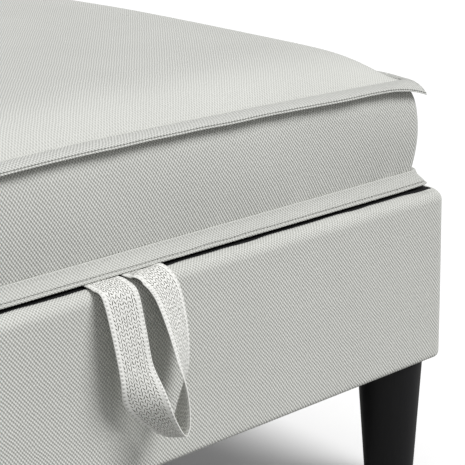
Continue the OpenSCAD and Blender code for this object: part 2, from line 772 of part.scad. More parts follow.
// Smooth curve through the rows, read at u from 0 to loop_last
function between(a, b, c, d, t) = 0.5 * (2 * b + (c - a) * t + (2 * a - 5 * b + 4 * c - d) * pow(t, 2)
    + (3 * b - a - 3 * c + d) * pow(t, 3));
function loop_row(u) = let (k = min(floor(u), loop_last - 1))
    between(loop_rows[max(k - 1, 0)], loop_rows[k], loop_rows[k + 1],
        loop_rows[min(k + 2, loop_last)], u - k);
function loop_place(u) = let (q = loop_row(u))
    [loop_at + strap_x * q[0], loop_y - loop_out * q[1], loop_z - loop_drop * q[2]];
function unit(v) = v / norm(v);

// Four corners of the webbing's section at u
function loop_section(u) =
    let (e = 0.01, p = loop_place(u), turn = loop_row(u)[3], tilt = loop_row(u)[4],
        w = [cos(turn) * cos(tilt), -sin(turn) * cos(tilt), sin(tilt)],
        along = unit(loop_place(min(u + e, loop_last)) - loop_place(max(u - e, 0))),
        across = unit(w - (w * along) * along), up = cross(across, along),
        half = strap_w / 2 * across, thick = strap_t / 2 * up)
    [p - half - thick, p + half - thick, p + half + thick, p - half + thick];

module pull_loop() {
    color(fabric_color) loft([for (k = [0:loop_last * loop_steps]) loop_section(k / loop_steps)], false);
}

front_panel();
back_panel();
left_panel();
right_panel();
bottom_board();
corner_blocks();
panel_screws();
bottom_screws();
front_padding();
back_padding();
left_padding();
right_padding();
base_cover();
storage_lining();
dust_cover();
dust_cover_staples();
leg_front_left();
leg_front_right();
leg_back_left();
leg_back_right();
leg_glides();
hanger_bolts();
tee_nuts();
hinge_base_leaves();
hinge_pins();
hinge_base_screws();
lid_board();
cushion_foam();
cover_top_panel();
cover_boxing();
top_flange();
bottom_flange();
cover_hem();
lid_lining();
lid_lining_staples();
lid_bumpers();
hinge_lid_leaves();
hinge_lid_screws();
loop_ends();
loop_staples();
pull_loop();
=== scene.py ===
# %% [markdown]
# # Dressing a storage ottoman
# The ottoman is a padded box on turned legs. Its lid is a board with a thick cushion on it, hinged at
# the back and lifted by a webbing loop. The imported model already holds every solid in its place, so
# this lesson makes what the eye sees: cloth, seams, stitching, webbing, paint and lining.
# Every piece is a surface worked out with numpy on a grid, so its form can be changed in one line.

import bmesh
import bpy
import numpy as np
from mathutils import Matrix, Vector


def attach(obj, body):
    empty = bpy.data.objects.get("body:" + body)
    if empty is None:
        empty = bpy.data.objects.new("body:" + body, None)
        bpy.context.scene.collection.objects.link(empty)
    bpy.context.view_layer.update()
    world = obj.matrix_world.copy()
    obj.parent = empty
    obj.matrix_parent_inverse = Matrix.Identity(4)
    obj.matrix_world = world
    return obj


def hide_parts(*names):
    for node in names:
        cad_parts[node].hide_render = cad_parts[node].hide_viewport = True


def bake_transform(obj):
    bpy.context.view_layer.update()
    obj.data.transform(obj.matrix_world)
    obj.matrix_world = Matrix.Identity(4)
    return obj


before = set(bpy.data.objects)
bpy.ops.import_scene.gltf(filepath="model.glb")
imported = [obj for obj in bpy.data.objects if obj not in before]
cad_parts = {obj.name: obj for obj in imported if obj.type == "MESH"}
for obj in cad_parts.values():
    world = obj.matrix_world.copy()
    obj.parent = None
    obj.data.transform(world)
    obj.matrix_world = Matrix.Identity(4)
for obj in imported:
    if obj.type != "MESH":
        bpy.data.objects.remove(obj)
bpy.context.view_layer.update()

MM = 0.001

# %% [markdown]
# ## The camera
# A picture of furniture is often taken from afar with a long lens, which keeps upright edges nearly
# upright. The eye's place could be found by trial, but it is quicker to measure lines whose true
# place is known, such as the rim and the corner, and solve for the eye. The values below are the
# outcome, in millimetres and degrees, with the focal length in pixels of the picture's width.

# %% Camera
FRAME_PX, FOCAL_PX, SENSOR_MM = 465, 1606.0, 36.0
eye = np.array([-740.0, -1372.7, 738.2]) * MM
yaw, pitch, roll = np.radians([41.58, 17.39, 1.21])


def add_object(name, data):
    """A new object that holds a mesh, a lamp or a camera, put into the scene."""
    made = bpy.data.objects.new(name, data)
    bpy.context.scene.collection.objects.link(made)
    return made


forward = np.array([np.sin(yaw) * np.cos(pitch), np.cos(yaw) * np.cos(pitch), -np.sin(pitch)])
level = np.array([np.cos(yaw), -np.sin(yaw), 0.0])
down = np.cross(forward, level)
right = np.cos(roll) * level + np.sin(roll) * down
up = np.sin(roll) * level - np.cos(roll) * down

camera = add_object("camera", bpy.data.cameras.new("camera"))
camera.data.sensor_width = SENSOR_MM
camera.data.lens = FOCAL_PX / FRAME_PX * SENSOR_MM
camera.data.clip_start, camera.data.clip_end = 0.05, 40
camera.matrix_world = Matrix(np.vstack([np.column_stack([right, up, -forward, eye]), [0, 0, 0, 1]]).tolist())
bpy.context.scene.camera = camera
bpy.context.scene.view_settings.view_transform = "Standard"
print("lens in millimetres", round(camera.data.lens, 1))

# %% [markdown]
# ## Small helpers for nodes
# A material is a graph of nodes. Writing `nodes.new` and `links.new` for each would hide the idea, so
# one helper makes a node, sets its values and joins its sockets, and a few others do one sum each.

# %% Node helpers
def fill(tree, node, values):
    """Values for a node's sockets, by name or number: a socket is linked, anything else is written in."""
    for key, value in values.items():
        if isinstance(value, bpy.types.NodeSocket):
            tree.links.new(value, node.inputs[key])
        else:
            node.inputs[key].default_value = value
    return node


def put(tree, kind, values=None, **settings):
    """A new node of a kind; settings are its own options, and values fill its sockets."""
    new = tree.nodes.new(kind)
    for key, value in settings.items():
        setattr(new, key, value)
    return fill(tree, new, values or {})


def sum_of(tree, operation, a, b=0.0, c=0.0):
    """One arithmetic step on numbers or sockets; the result is a socket."""
    return put(tree, "ShaderNodeMath", {0: a, 1: b, 2: c}, operation=operation).outputs[0]


def plus(tree, a, b):
    """a + b."""
    return sum_of(tree, "ADD", a, b)


def minus(tree, a, b):
    """a - b."""
    return sum_of(tree, "SUBTRACT", a, b)


def times(tree, a, b):
    """a times b."""
    return sum_of(tree, "MULTIPLY", a, b)


def scaled(tree, a, factor, added):
    """a times a factor, plus what is added."""
    return sum_of(tree, "MULTIPLY_ADD", a, factor, added)


def wave_of(tree, turns):
    """The cosine of a number of whole turns."""
    return sum_of(tree, "COSINE", times(tree, turns, 2 * np.pi))


def between(tree, value, start, end):
    """0 at start, 1 at end, straight between them and level beyond; start may be the greater one."""
    return put(tree, "ShaderNodeMapRange", {0: value, 1: start, 2: end}).outputs[0]


def blend_colours(tree, share, first, second, kind="MIX"):
    """Two colours mixed by a share from 0, all the first, to 1, all the second."""
    return put(tree, "ShaderNodeMix", {"Factor": share, 6: first, 7: second}, data_type="RGBA",
               blend_type=kind).outputs[2]


def noise(tree, where, scale, detail=2.0, rough=0.5):
    """A cloud of values from 0 to 1 with patches about 1/scale metres wide."""
    return put(tree, "ShaderNodeTexNoise", {"Vector": where, "Scale": scale, "Detail": detail,
                                            "Roughness": rough}).outputs["Fac"]


# %% [markdown]
# A pattern that serves several materials goes into a node group, which is a function made of nodes:
# it is given a place and a few numbers, and gives numbers back. A new material starts as one shader
# whose sockets are then filled, and a bump turns a height into small tilts of the surface.

# %% Groups and materials
def effect(name, outputs, **defaults):
    """An empty group whose inputs are a place, Where, and the defaults, and whose outputs are numbers."""
    group = bpy.data.node_groups.new(name, "ShaderNodeTree")
    sockets = group.interface
    sockets.new_socket("Where", in_out="INPUT", socket_type="NodeSocketVector")
    for title, default in defaults.items():
        kind = "NodeSocketVector" if isinstance(default, tuple) else "NodeSocketFloat"
        sockets.new_socket(title, in_out="INPUT", socket_type=kind).default_value = default
    for title in outputs:
        sockets.new_socket(title, in_out="OUTPUT", socket_type="NodeSocketFloat")
    return group, group.nodes.new("NodeGroupInput").outputs, group.nodes.new("NodeGroupOutput")


def use(tree, group, where, **values):
    """The outputs of a node group that is fed with a place and, where wanted, other values."""
    return put(tree, "ShaderNodeGroup", {"Where": where, **values}, node_tree=group).outputs


def on_cloth(tree):
    """The place on the cloth in metres, from the piece's own UV map."""
    return put(tree, "ShaderNodeUVMap", uv_map="cloth").outputs[0]


def on_piece(tree):
    """The place on the piece in metres, in its own axes."""
    return put(tree, "ShaderNodeTexCoord").outputs["Object"]


def new_material(name):
    """A material with its tree of nodes and its shader."""
    made = bpy.data.materials.new(name)
    made.use_nodes = True
    return made, made.node_tree, made.node_tree.nodes["Principled BSDF"]


def bump(tree, height, relief, strength=1.0):
    """A normal tilted by the slope of a height; relief is what a height of 1 stands for, in metres."""
    return put(tree, "ShaderNodeBump", {"Height": height, "Distance": relief,
                                        "Strength": strength}).outputs[0]


# %% [markdown]
# ## The weave of the cover cloth
# The cover is a flat, heavy cloth whose floats line up in slanting ridges that run down to the right.
# A picture of the cloth could be wrapped round the piece, but it would blur close up. Here the weave
# is two crossed waves instead: one along the ridges and a weaker one that breaks them into floats.
# It reads the cloth's own UV map in metres, so it follows the cloth round every corner.

# %% Weave group
CELL_W, CELL_H = 0.00325, 0.00405


def make_weave():
    """Ridge = 0.5 + 0.26 wave(u/w + v/h + drift) + 0.22 wave(u/w - v/h - drift) + 0.35 unevenness."""
    group, given, result = effect("Slanting weave", ["Ridge", "Fibre", "Cloud"],
                                  Width=CELL_W, Height=CELL_H, Wander=0.12)
    where = given["Where"]
    place = put(group, "ShaderNodeSeparateXYZ", {0: where}).outputs
    drift = minus(group, noise(group, where, 55.0, 3.0), 0.5)
    drift = times(group, drift, times(group, given["Wander"], 8.0))
    a = sum_of(group, "DIVIDE", place["X"], given["Width"])
    b = sum_of(group, "DIVIDE", place["Y"], given["Height"])
    ridges = wave_of(group, plus(group, plus(group, a, b), drift))
    floats = wave_of(group, minus(group, minus(group, a, b), drift))
    height = scaled(group, floats, 0.22, scaled(group, ridges, 0.26, 0.5))
    uneven = minus(group, noise(group, where, 420.0, 2.0), 0.5)
    fill(group, result, {"Ridge": scaled(group, uneven, 0.35, height),
                         "Fibre": noise(group, where, 1900.0, 2.0, 0.6),
                         "Cloud": noise(group, where, 9.0, 3.0)})
    return group


weave = make_weave()
print("weave group has", len(weave.nodes), "nodes")

# %% [markdown]
# A cloth colour is not one value: the dye drifts a little over the length of a bolt. The light that
# yarns on a ridge catch and the darker hollows between them are painted in: the material mixes a deep
# and a pale colour by the ridge height, painted shade in the hollows and painted light on the ridges,
# lets the slow cloud shift them, and turns the same height into a bump.

# %% Cloth materials
def cloth(name, pale, deep, relief, cell=(CELL_W, CELL_H)):
    """Woven cloth: base colour from deep to pale by ridge height, painted shade in the hollows and painted
    light on the ridges; bump of a given relief in metres.
    """
    made, tree, shader = new_material(name)
    w = use(tree, weave, on_cloth(tree), Width=cell[0], Height=cell[1])
    # painted shade and light: the weave's hollows get the deep colour, its ridges the pale one
    colour = blend_colours(tree, between(tree, w["Ridge"], 0.12, 0.88), (*deep, 1), (*pale, 1))
    drift, fuzz = scaled(tree, w["Cloud"], 0.10, 0.95), scaled(tree, w["Fibre"], 0.12, 0.94)
    tone = put(tree, "ShaderNodeCombineColor", {i: times(tree, drift, fuzz) for i in range(3)})
    fill(tree, shader, {
        "Base Color": blend_colours(tree, 1.0, colour, tone.outputs[0], "MULTIPLY"),
        "Normal": bump(tree, scaled(tree, w["Fibre"], 0.15, w["Ridge"]), relief),
        "Roughness": scaled(tree, w["Ridge"], -0.1, 0.95),
        "Sheen Weight": 0.15, "Sheen Roughness": 0.5, "Specular IOR Level": 0.25})
    return made


# The box cloth is the cover cloth as it is. The cushion top, flange, top flange and cushion side cloths are
# copies of it in other tones that stand for how light falls, painted shade: the top's pale colour is darker
# and its painted weave light and shade weaker, and the two flanges and the boxing are darker.
side_cloth = cloth("box cloth", (0.82, 0.825, 0.79), (0.43, 0.435, 0.405), 0.0007)
top_cloth_painted_shade = cloth("cushion top cloth, painted shade", (0.75, 0.755, 0.72), (0.545, 0.55, 0.52), 0.0005, (0.0029, 0.0036))
flange_cloth_painted_shade = cloth("flange cloth, painted shade", (0.73, 0.735, 0.705), (0.44, 0.445, 0.415), 0.0006)
edge_cloth_painted_shade = cloth("top flange cloth, painted shade", (0.785, 0.79, 0.757), (0.44, 0.445, 0.42), 0.0007)
boxing_cloth_painted_shade = cloth("cushion side cloth, painted shade", (0.80, 0.805, 0.772), (0.40, 0.405, 0.377), 0.00075)
print("cloth materials made")

# %% [markdown]
# ## Surfaces from arrays
# Blender can build a mesh from loops of Python, but a grid of points is one array, and its faces are
# four shifted copies of the same index table. One helper turns any grid into a mesh: it closes the
# grid round on itself where asked, writes the UV map, and turns the faces so that they look outward.

# %% Grid to mesh
def new_piece(name, points, faces, uv=None, material=None, smooth=True):
    """An object from points in metres, faces of four point numbers each, and a UV pair for each corner."""
    mesh = bpy.data.meshes.new(name)
    mesh.vertices.add(len(points))
    mesh.vertices.foreach_set("co", points.astype(np.float32).ravel())
    mesh.loops.add(faces.size)
    mesh.loops.foreach_set("vertex_index", faces.astype(np.int32).ravel())
    mesh.polygons.add(len(faces))
    mesh.polygons.foreach_set("loop_start", np.arange(0, faces.size, 4, dtype=np.int32))
    mesh.polygons.foreach_set("use_smooth", np.full(len(faces), smooth))
    mesh.update(calc_edges=True)
    if uv is not None:
        mesh.uv_layers.new(name="cloth").data.foreach_set("uv", uv.astype(np.float32).ravel())
    if material is not None:
        mesh.materials.append(material)
    return add_object(name, mesh)


def merge_poles(mesh, outward=False):
    """Points closer than two thousandths of a millimetre become one, and faces that collapse go."""
    work = bmesh.new()
    work.from_mesh(mesh)
    bmesh.ops.remove_doubles(work, verts=work.verts, dist=2e-6)
    bmesh.ops.dissolve_degenerate(work, edges=work.edges, dist=1e-7)
    if outward:
        bmesh.ops.recalc_face_normals(work, faces=work.faces)
    work.to_mesh(mesh)
    work.free()


def skin(name, points, uv=None, round_rows=False, round_columns=False, material=None, smooth=True):
    """A mesh over a grid of points, rows by columns; its signed volume tells which way is outward."""
    rows, columns = points.shape[:2]
    r = np.arange(rows if round_rows else rows - 1)[:, None]
    c = np.arange(columns if round_columns else columns - 1)[None, :]
    around = [(r, c), (r, c + 1), (r + 1, c + 1), (r + 1, c)]
    faces = np.stack([i % rows * columns + j % columns for i, j in around], -1).reshape(-1, 4)
    if uv is not None:
        uv = np.stack([uv[i, j] for i, j in around], 2).reshape(-1, 4, 2)
    p = points.reshape(-1, 3)[faces]
    volume = sum((p[:, 0] * np.cross(p[:, i], p[:, i + 1])).sum() for i in (1, 2)) / 6
    if volume < 0:
        faces = faces[:, ::-1]
        uv = None if uv is None else uv[:, ::-1]
    made = new_piece(name, points.reshape(-1, 3), faces, uv, material, smooth)
    merge_poles(made.data)
    return made


def tell(made):
    """Prints the number of faces and the size of a piece in millimetres."""
    box = np.array([v[:] for v in made.bound_box])
    print(made.name, len(made.data.polygons), "faces, size", np.round(np.ptp(box, 0) / MM, 1).tolist())


# %% [markdown]
# ## Rings round the ottoman
# Cover, boxing and flanges all run round a square with rounded corners. So the common shape is a
# ring: one side and one corner, turned three more times. Each ring can be moved in, have its own
# corner radius, and be drawn in at the middle of its sides, as tight seams do on real cushions.

# %% Ring helper
HALF, CORNER_R, FLANGE_IN = 400.0, 12.0, 14.0
SIDE_POINTS, CORNER_POINTS = 150, 12
EVEN_SHARE, EAR_START = 0.72, 0.86


def cornerness(x, y):
    """0 at the middle of a side, 1 at a corner."""
    return (np.minimum(abs(x), abs(y)) / (HALF - FLANGE_IN)).clip(0, 1)


def earness(x, y):
    """0 along a side, rising to 1 over the last stretch before a corner."""
    return ((cornerness(x, y) - EAR_START).clip(0) / (1 - EAR_START)) ** 2


def four_turns(x, y):
    """The points of one side and corner, and the same turned by 90, 180 and 270 degrees."""
    return np.concatenate([(x, y), (-y, x), (-x, -y), (y, -x)], -1)


def ring(inset, radius=CORNER_R, draw=0.0, side=SIDE_POINTS, corner=CORNER_POINTS):
    """Points of a rounded square for each row: x and y, each side drawn in by draw (1 - cornerness^2)."""
    inset, radius, draw = (np.atleast_1d(np.asarray(v, float))[:, None] for v in (inset, radius, draw))
    half = HALF - inset
    t = np.linspace(-1, 1, side, endpoint=False)[None, :]
    t = EVEN_SHARE * t + (1 - EVEN_SHARE) * np.sin(t * np.pi / 2)
    a = np.radians(np.linspace(-90, 0, corner, endpoint=False))[None, :]
    x = np.hstack([(half - radius) * t, half - radius + radius * np.cos(a)])
    y = np.hstack([-half + 0 * t, -(half - radius) + radius * np.sin(a)])
    y = y + draw * (1 - cornerness(x, y) ** 2) * (np.arange(x.shape[1]) < side)
    return four_turns(x, y)


# %% [markdown]
# Cloth needs to know how far along itself each point lies. The distance is the running sum of the
# steps between points. It feeds the UV map, and the ripples that keep long edges from being straight.

# %% Distances and ripples
def lengths(line, closed=True):
    """Distance along a line at each of its points, and at its start again where it is closed."""
    line = np.concatenate([line, line[:1]]) if closed else line
    return np.concatenate([[0], np.cumsum(np.linalg.norm(np.diff(line, axis=0), axis=1))])


def along(side=SIDE_POINTS, corner=CORNER_POINTS):
    """Distance round the outer ring at each column, with the full length added at the end."""
    return lengths(ring(0.0, side=side, corner=corner)[:, 0].T)


def uv_grid(u, v):
    """UV pairs in metres for a grid whose columns lie at u and whose rows lie at v millimetres."""
    return np.stack(np.broadcast_arrays(u[None, :], v[:, None]), -1) * MM


def ripple(where, whole, seed, longest=40, count=14):
    """A gentle closed wave: a sum of cosines whose whole numbers and starts are fixed by a seed."""
    chance = np.random.default_rng(seed)
    waves = chance.integers(6, longest, count)
    starts, sizes = chance.random(count) * 2 * np.pi, chance.random(count)
    total = sum(s * np.cos(2 * np.pi * w * where / whole + p) for w, p, s in zip(waves, starts, sizes))
    return total / np.sqrt((sizes ** 2).sum() / 2)


def ring_ripple(seed, longest=40, count=14, ahead=0.0, points=(SIDE_POINTS, CORNER_POINTS)):
    """The ripple of a seed at each column of the ring, read further round by what lies ahead."""
    place = along(*points)
    return ripple(place[:-1] + ahead, place[-1], seed, longest, count)


def push_out(points, amount, band):
    """Moves each side away from the middle; a side is what lies within the band of the outer square."""
    for axis in (0, 1):
        c = points[..., axis]
        points[..., axis] += amount * np.where(abs(c) > HALF - band, np.sign(c), 0)


def swept(name, inset, z, radius, material, draw=0.0, side=SIDE_POINTS, corner=CORNER_POINTS, move=None,
          v=None, rise=1):
    """A closed profile of insets and heights carried round the ring; move may shift the points after.
    rise is 1 where the profile's first rows run upwards and -1 where they run down."""
    x, y = ring(inset, radius, draw, side, corner)
    points = np.stack([x, y, np.broadcast_to(np.asarray(z, float)[:, None], x.shape)], -1)
    if move is not None:
        points = move(points)
    v = lengths(points[:, 0]) if v is None else v
    uv = uv_grid(along(side, corner), rise * v)
    return skin(name, points * MM, uv, round_rows=True, round_columns=True, material=material)


print("ring is", round(float(along()[-1])), "mm round")

# %% [markdown]
# ## The cover of the box
# A tailor cuts the box's cover as one long band with the top edge turned over the rim and sewn to
# the lining, and the bottom edge stapled under the board. It could be a rounded cube with a Bevel,
# but its section has different roundings at rim and foot, so it is a profile carried round the ring.

# %% Box cover
Z_COVER, Z_RIM, EDGE, FOOT, COVER = 140.8, 314.5, 12.0, 6.0, 1.2
SWELL, RIM_DIP, UPPER_HALF = 0.35, 0.25, 250.0


def arc(centre_inset, centre_z, radius, start, end, count):
    """Part of a circle in the profile's plane, angles from straight out (0) to straight up (90)."""
    a = np.radians(np.linspace(start, end, count))
    return centre_inset - radius * np.cos(a), centre_z + radius * np.sin(a)


def box_profile(off):
    """Insets and heights from under the board to the rim seam, moved inside the cover by off."""
    return np.hstack([
        (np.array([46.0, 30.0, 15.0]), np.full(3, Z_COVER + off)),
        arc(FOOT, Z_COVER + FOOT, FOOT - off, -90, 0, 8),
        (np.full(22, off), np.linspace(Z_COVER + FOOT + 4, Z_RIM - EDGE - 4, 22)),
        arc(EDGE, Z_RIM - EDGE, EDGE - off, 0, 86, 12)])


def soften_box(points):
    """Lets the sides swell and dimple by a fraction of a millimetre, as cloth over wadding does."""
    z = points[..., 2]
    share = ((z - Z_COVER) / (Z_RIM - Z_COVER)).clip(0, 1)
    middle = np.sin(np.pi * share)
    wave = (0.22 * ring_ripple(3, 24) * middle + 0.16 * ring_ripple(5, 60, 20, 60 * share) * share ** 3
            + SWELL * (middle - 1))
    push_out(points, wave, band=14.0)
    points[..., 2] -= np.where(z > Z_RIM - 1.5, RIM_DIP * (1 + ring_ripple(11, 70, 24)), 0)
    return points


inset, height = np.hstack([box_profile(0.0), box_profile(COVER)[:, ::-1]])
corner_r = np.where(height > UPPER_HALF, CORNER_R - 0.15 * inset, (EDGE - inset).clip(0.6))
box_cover = swept("box_cover", inset, height, corner_r, side_cloth, move=soften_box)
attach(box_cover, "base")
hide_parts("base_cover")
tell(box_cover)

# %% [markdown]
# ## Wadding behind the cover
# Between the boards and the cover lies a layer of wadding 8 mm thick. It is never seen, but it is a
# real piece, so each side gets one: the box's profile, a cover's thickness further in, with the
# board's face as its back. Cutting the ring at the corners gives the four pieces.

# %% Wadding
PER_SIDE = SIDE_POINTS + CORNER_POINTS


def plain(name, colour, rough=0.95, relief=0.0004, grain=600.0, sheen=0.1):
    """A soft or moulded finish: fine grain and a slow cloud over one colour, by place on the piece."""
    made, tree, shader = new_material(name)
    where = on_piece(tree)
    fine, slow = noise(tree, where, grain, 3.0), noise(tree, where, 40.0, 3.0)
    share = plus(tree, times(tree, fine, 0.5), times(tree, slow, 0.5))
    dark, light = [c * 0.78 for c in colour], [min(1, c * 1.16) for c in colour]
    fill(tree, shader, {"Base Color": blend_colours(tree, share, (*dark, 1), (*light, 1)),
                        "Normal": bump(tree, fine, relief, 0.8),
                        "Roughness": scaled(tree, slow, 0.12, rough - 0.08), "Sheen Weight": sheen})
    return made


def strip(name, inset, z, radius, material, first, last):
    """Part of a swept closed profile, from one column to another, with flat ends."""
    x, y = ring(inset, radius)
    columns = np.arange(first, last + 1) % x.shape[1]
    points = np.stack([x, y, np.broadcast_to(z[:, None], x.shape)], -1)[:, columns]
    ends = points.mean(0, keepdims=True).repeat(len(points), 0)
    points = np.concatenate([ends[:, :1], points, ends[:, -1:]], 1)
    return skin(name, points * MM, round_rows=True, material=material, smooth=False)


def wadding_loop():
    """Closed line: up the cover's inside from the foot to the rim, back down along the board."""
    gap = COVER + 0.3
    return np.hstack([
        arc(FOOT, Z_COVER + FOOT, FOOT - gap, -88, 0, 4),
        arc(EDGE, Z_RIM - EDGE, EDGE - gap, 0, 88, 7),
        (np.array([EDGE, 9.5, 9.5, 9.5]), np.array([305.6, 305.5, 220.0, 143.0]))])


wadding = plain("wadding", (0.86, 0.85, 0.80), grain=900.0)
pad_in, pad_z = wadding_loop()
for place, side_name in enumerate(["front", "right", "back", "left"]):
    first = place * PER_SIDE - CORNER_POINTS // 2 + 1
    pad = strip(f"{side_name}_wadding", pad_in, pad_z, (EDGE - pad_in).clip(0.8), wadding,
                first, first + PER_SIDE - 2)
    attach(pad, "base")
    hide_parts(f"{side_name}_padding")
    tell(pad)

# %% [markdown]
# ## Black nonwoven cloth
# Storage room, lid and underside are lined with thin black nonwoven cloth: fibres bonded by heat in
# a close pattern of small dots. It is matte, with faint dimples. The dots could be modelled, but at a
# millimetre apart a bump from a dot pattern shows the same and costs nothing.

# %% Nonwoven material
def make_dots():
    """Dimple = 1 in the middle of each cell of a slanted square grid, 0 beyond a third of the cell."""
    group, given, result = effect("Bonded dots", ["Dimple", "Fibre"], Pitch=0.0022)
    at = put(group, "ShaderNodeSeparateXYZ", {0: given["Where"]}).outputs
    from_middle = []
    for slanted in (plus(group, at["X"], at["Y"]), minus(group, at["X"], at["Y"])):
        cell = sum_of(group, "DIVIDE", plus(group, slanted, at["Z"]), given["Pitch"])
        from_middle.append(sum_of(group, "ABSOLUTE", minus(group, sum_of(group, "FRACT", cell), 0.5)))
    far = sum_of(group, "MAXIMUM", *from_middle)
    fill(group, result, {"Dimple": between(group, far, 0.32, 0.2),
                         "Fibre": noise(group, given["Where"], 1200.0, 3.0, 0.7)})
    return group


dots = make_dots()


def nonwoven(name, colour):
    """Thin bonded cloth: dark base, lighter fibres, dimples pressed in."""
    made, tree, shader = new_material(name)
    d = use(tree, dots, on_piece(tree))
    light = [c * 2.1 for c in colour]
    fill(tree, shader, {"Base Color": blend_colours(tree, d["Fibre"], (*colour, 1), (*light, 1)),
                        "Normal": bump(tree, scaled(tree, d["Dimple"], -0.6, d["Fibre"]), 0.00025),
                        "Roughness": scaled(tree, d["Dimple"], -0.2, 0.85), "Specular IOR Level": 0.2})
    return made


# near black: the lining's own black, and where it lies on the rim under the lid's lip also painted shade for
# the gap
black_lining_and_gap_shade = nonwoven("black nonwoven and gap shade", (0.006, 0.006, 0.0065))
print("lining cloth made")

# %% [markdown]
# The lining of the storage room is a bag: its top edge lies on the rim and is sewn to the cover, its
# walls hang against the boards and cross the corner blocks, and its floor lies on the bottom board.
# Eight-sided rings that shrink from the rim to the middle of the floor make it in one surface. On the
# rim, under the lid's lip, its near-black colour is also the dark of the gap, painted shade.

# %% Storage lining
ROOM_X, BLOCK, LINING_TOP, LINING_FLOOR = HALF - 27.2, 75.0, 313.3, 154.0
WALL_ROWS, WALL_SAG = 12, 0.5
SHRINK = np.array([0.97, 0.8, 0.6, 0.4, 0.2, 0.0])


def eight_ring(half, cut, per_edge=24):
    """Points round a square of half size half whose corners are cut by cut, for each row."""
    half, cut = (np.asarray(v, float)[:, None] for v in (half, cut))
    t = np.linspace(0, 1, per_edge, endpoint=False)[None, :]
    a = half - cut
    return four_turns(np.hstack([-a + 2 * a * t, a + cut * t]), np.hstack([-half + 0 * t, -half + cut * t]))


def lining_rows(off):
    """Half size, corner cut and height of each ring; off moves the surface into the room."""
    wall, top, floor = ROOM_X - off, LINING_TOP + off, LINING_FLOOR + off
    # The first rows lie flat on the rim under the lid's lip, where the near-black sheet is painted shade for
    # the gap.
    half = [389.0, 380.0, wall + 1, wall, *[wall] * WALL_ROWS, wall - 1.5, *wall * SHRINK]
    cut = [0.5, 0.5, 60.0, BLOCK, *[BLOCK] * WALL_ROWS, BLOCK, *BLOCK * SHRINK]
    z = [top, top, top, top - 1.2, *np.linspace(300, floor + 2, WALL_ROWS), floor + 0.4,
         *[floor] * len(SHRINK)]
    return np.array([half, cut, z])


def lining_surface():
    """Inner face and, from rim to floor again, the outer face, joined into one closed skin."""
    parts = []
    for off in (0.75, 0.05):
        half, cut, z = lining_rows(off)
        x, y = eight_ring(half, cut)
        wall = ((z > LINING_FLOOR + 2) & (z < LINING_TOP - 1.3))[:, None]
        sag = wall * WALL_SAG * ripple(np.arange(x.shape[1]), x.shape[1], 21)
        scale = 1 - (sag.clip(0) + 0.3 * wall) / ROOM_X
        parts.append(np.stack([x * scale, y * scale, np.broadcast_to(z[:, None], x.shape)], -1))
    return np.concatenate([parts[0][::-1], parts[1]])


lining = skin("storage_lining_cloth", lining_surface() * MM, round_columns=True, material=black_lining_and_gap_shade)
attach(lining, "base")
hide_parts("storage_lining")
tell(lining)

# %% [markdown]
# The two flat linings, under the lid and under the box, are plain sheets with a thin edge. Each is a
# few shrinking square rings above, and the same below. A cloth stapled along its edge is never quite
# flat, so a slow ripple is pressed into it, well inside its thickness.

# %% Flat linings
SHEET_RINGS, SHEET_BOW = 40, 0.15


def flat_sheet(name, half, z0, z1, material, seed):
    """Square sheet: rings from the middle of the top to the edge, and back under to the middle."""
    share = np.concatenate([np.linspace(0, 1, SHEET_RINGS), np.linspace(1, 0, SHEET_RINGS)])
    x, y = eight_ring(half * share, 1.2 * share, 20)
    under = (np.arange(2 * SHEET_RINGS) >= SHEET_RINGS)[:, None]
    wave = SHEET_BOW * np.sin(x / half * 9 + seed) * np.cos(y / half * 7 - seed) * (1 - share[:, None] ** 4)
    z = np.where(under, z0, z1 + wave)
    return skin(name, np.stack([x, y, z], -1) * MM, round_columns=True, material=material)


lid_cloth = flat_sheet("lid_lining_cloth", 358.0, 317.0, 317.75, black_lining_and_gap_shade, 2)
under_cloth = flat_sheet("dust_cloth", 388.0, 140.0, 140.75, black_lining_and_gap_shade, 5)
for piece, body, node, size, board in [(lid_cloth, "lid", "lid_lining", 0.716, "lid_board"),
                                       (under_cloth, "base", "dust_cover", 0.776, "bottom_board")]:
    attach(piece, body)
    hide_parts(node)
    tell(piece)

# %% [markdown]
# ## The cushion
# The cushion is a foam block in a sewn cover: a crowned top panel, four sides called the boxing, and
# a flat flange of two layers where they meet. A sphere-like swelling would look like a balloon; a
# real box cushion is nearly flat on top and falls steeply in the last centimetres before its seam.

# %% Cushion form
Z_SEAM, BOXING_H, CORNER_DROP, CROWN, POWER = 331.0, 96.0, 7.0, 31.0, 16
SEAM_IN, STITCH_IN, SIDE_DRAW, BULGE = 21.5, 31.0, 4.0, 4.0
Z_STITCH = Z_SEAM + BOXING_H
COVER_T, UNDER_LIP = 1.6, 2.7


def stitch_height(x, y):
    """Height of the top seam: lower towards the corners, by drop times cornerness^1.5."""
    return Z_STITCH - CORNER_DROP * cornerness(x, y) ** 1.5


def boxing_inset(t):
    """How far in the boxing lies at share t of its height: in at both seams, out between them."""
    return SEAM_IN + (STITCH_IN - 0.5 - SEAM_IN) * t ** 14 - BULGE * np.sin(np.pi * t ** 0.95)


def place_boxing(points):
    """Sets the height of each row by its share of the way between the seams, and adds small puckers."""
    t = shares[:, None]
    points[..., 2] = Z_SEAM + t * (stitch_height(points[..., 0], points[..., 1]) - UNDER_LIP - Z_SEAM)
    pucker = (0.28 * ring_ripple(31, 110, 30) * (t ** 5 + (1 - t) ** 6)
              + 0.5 * ring_ripple(33, 22, ahead=30 * t) * np.sin(np.pi * t))
    push_out(points, -pucker, band=30.0)
    return points


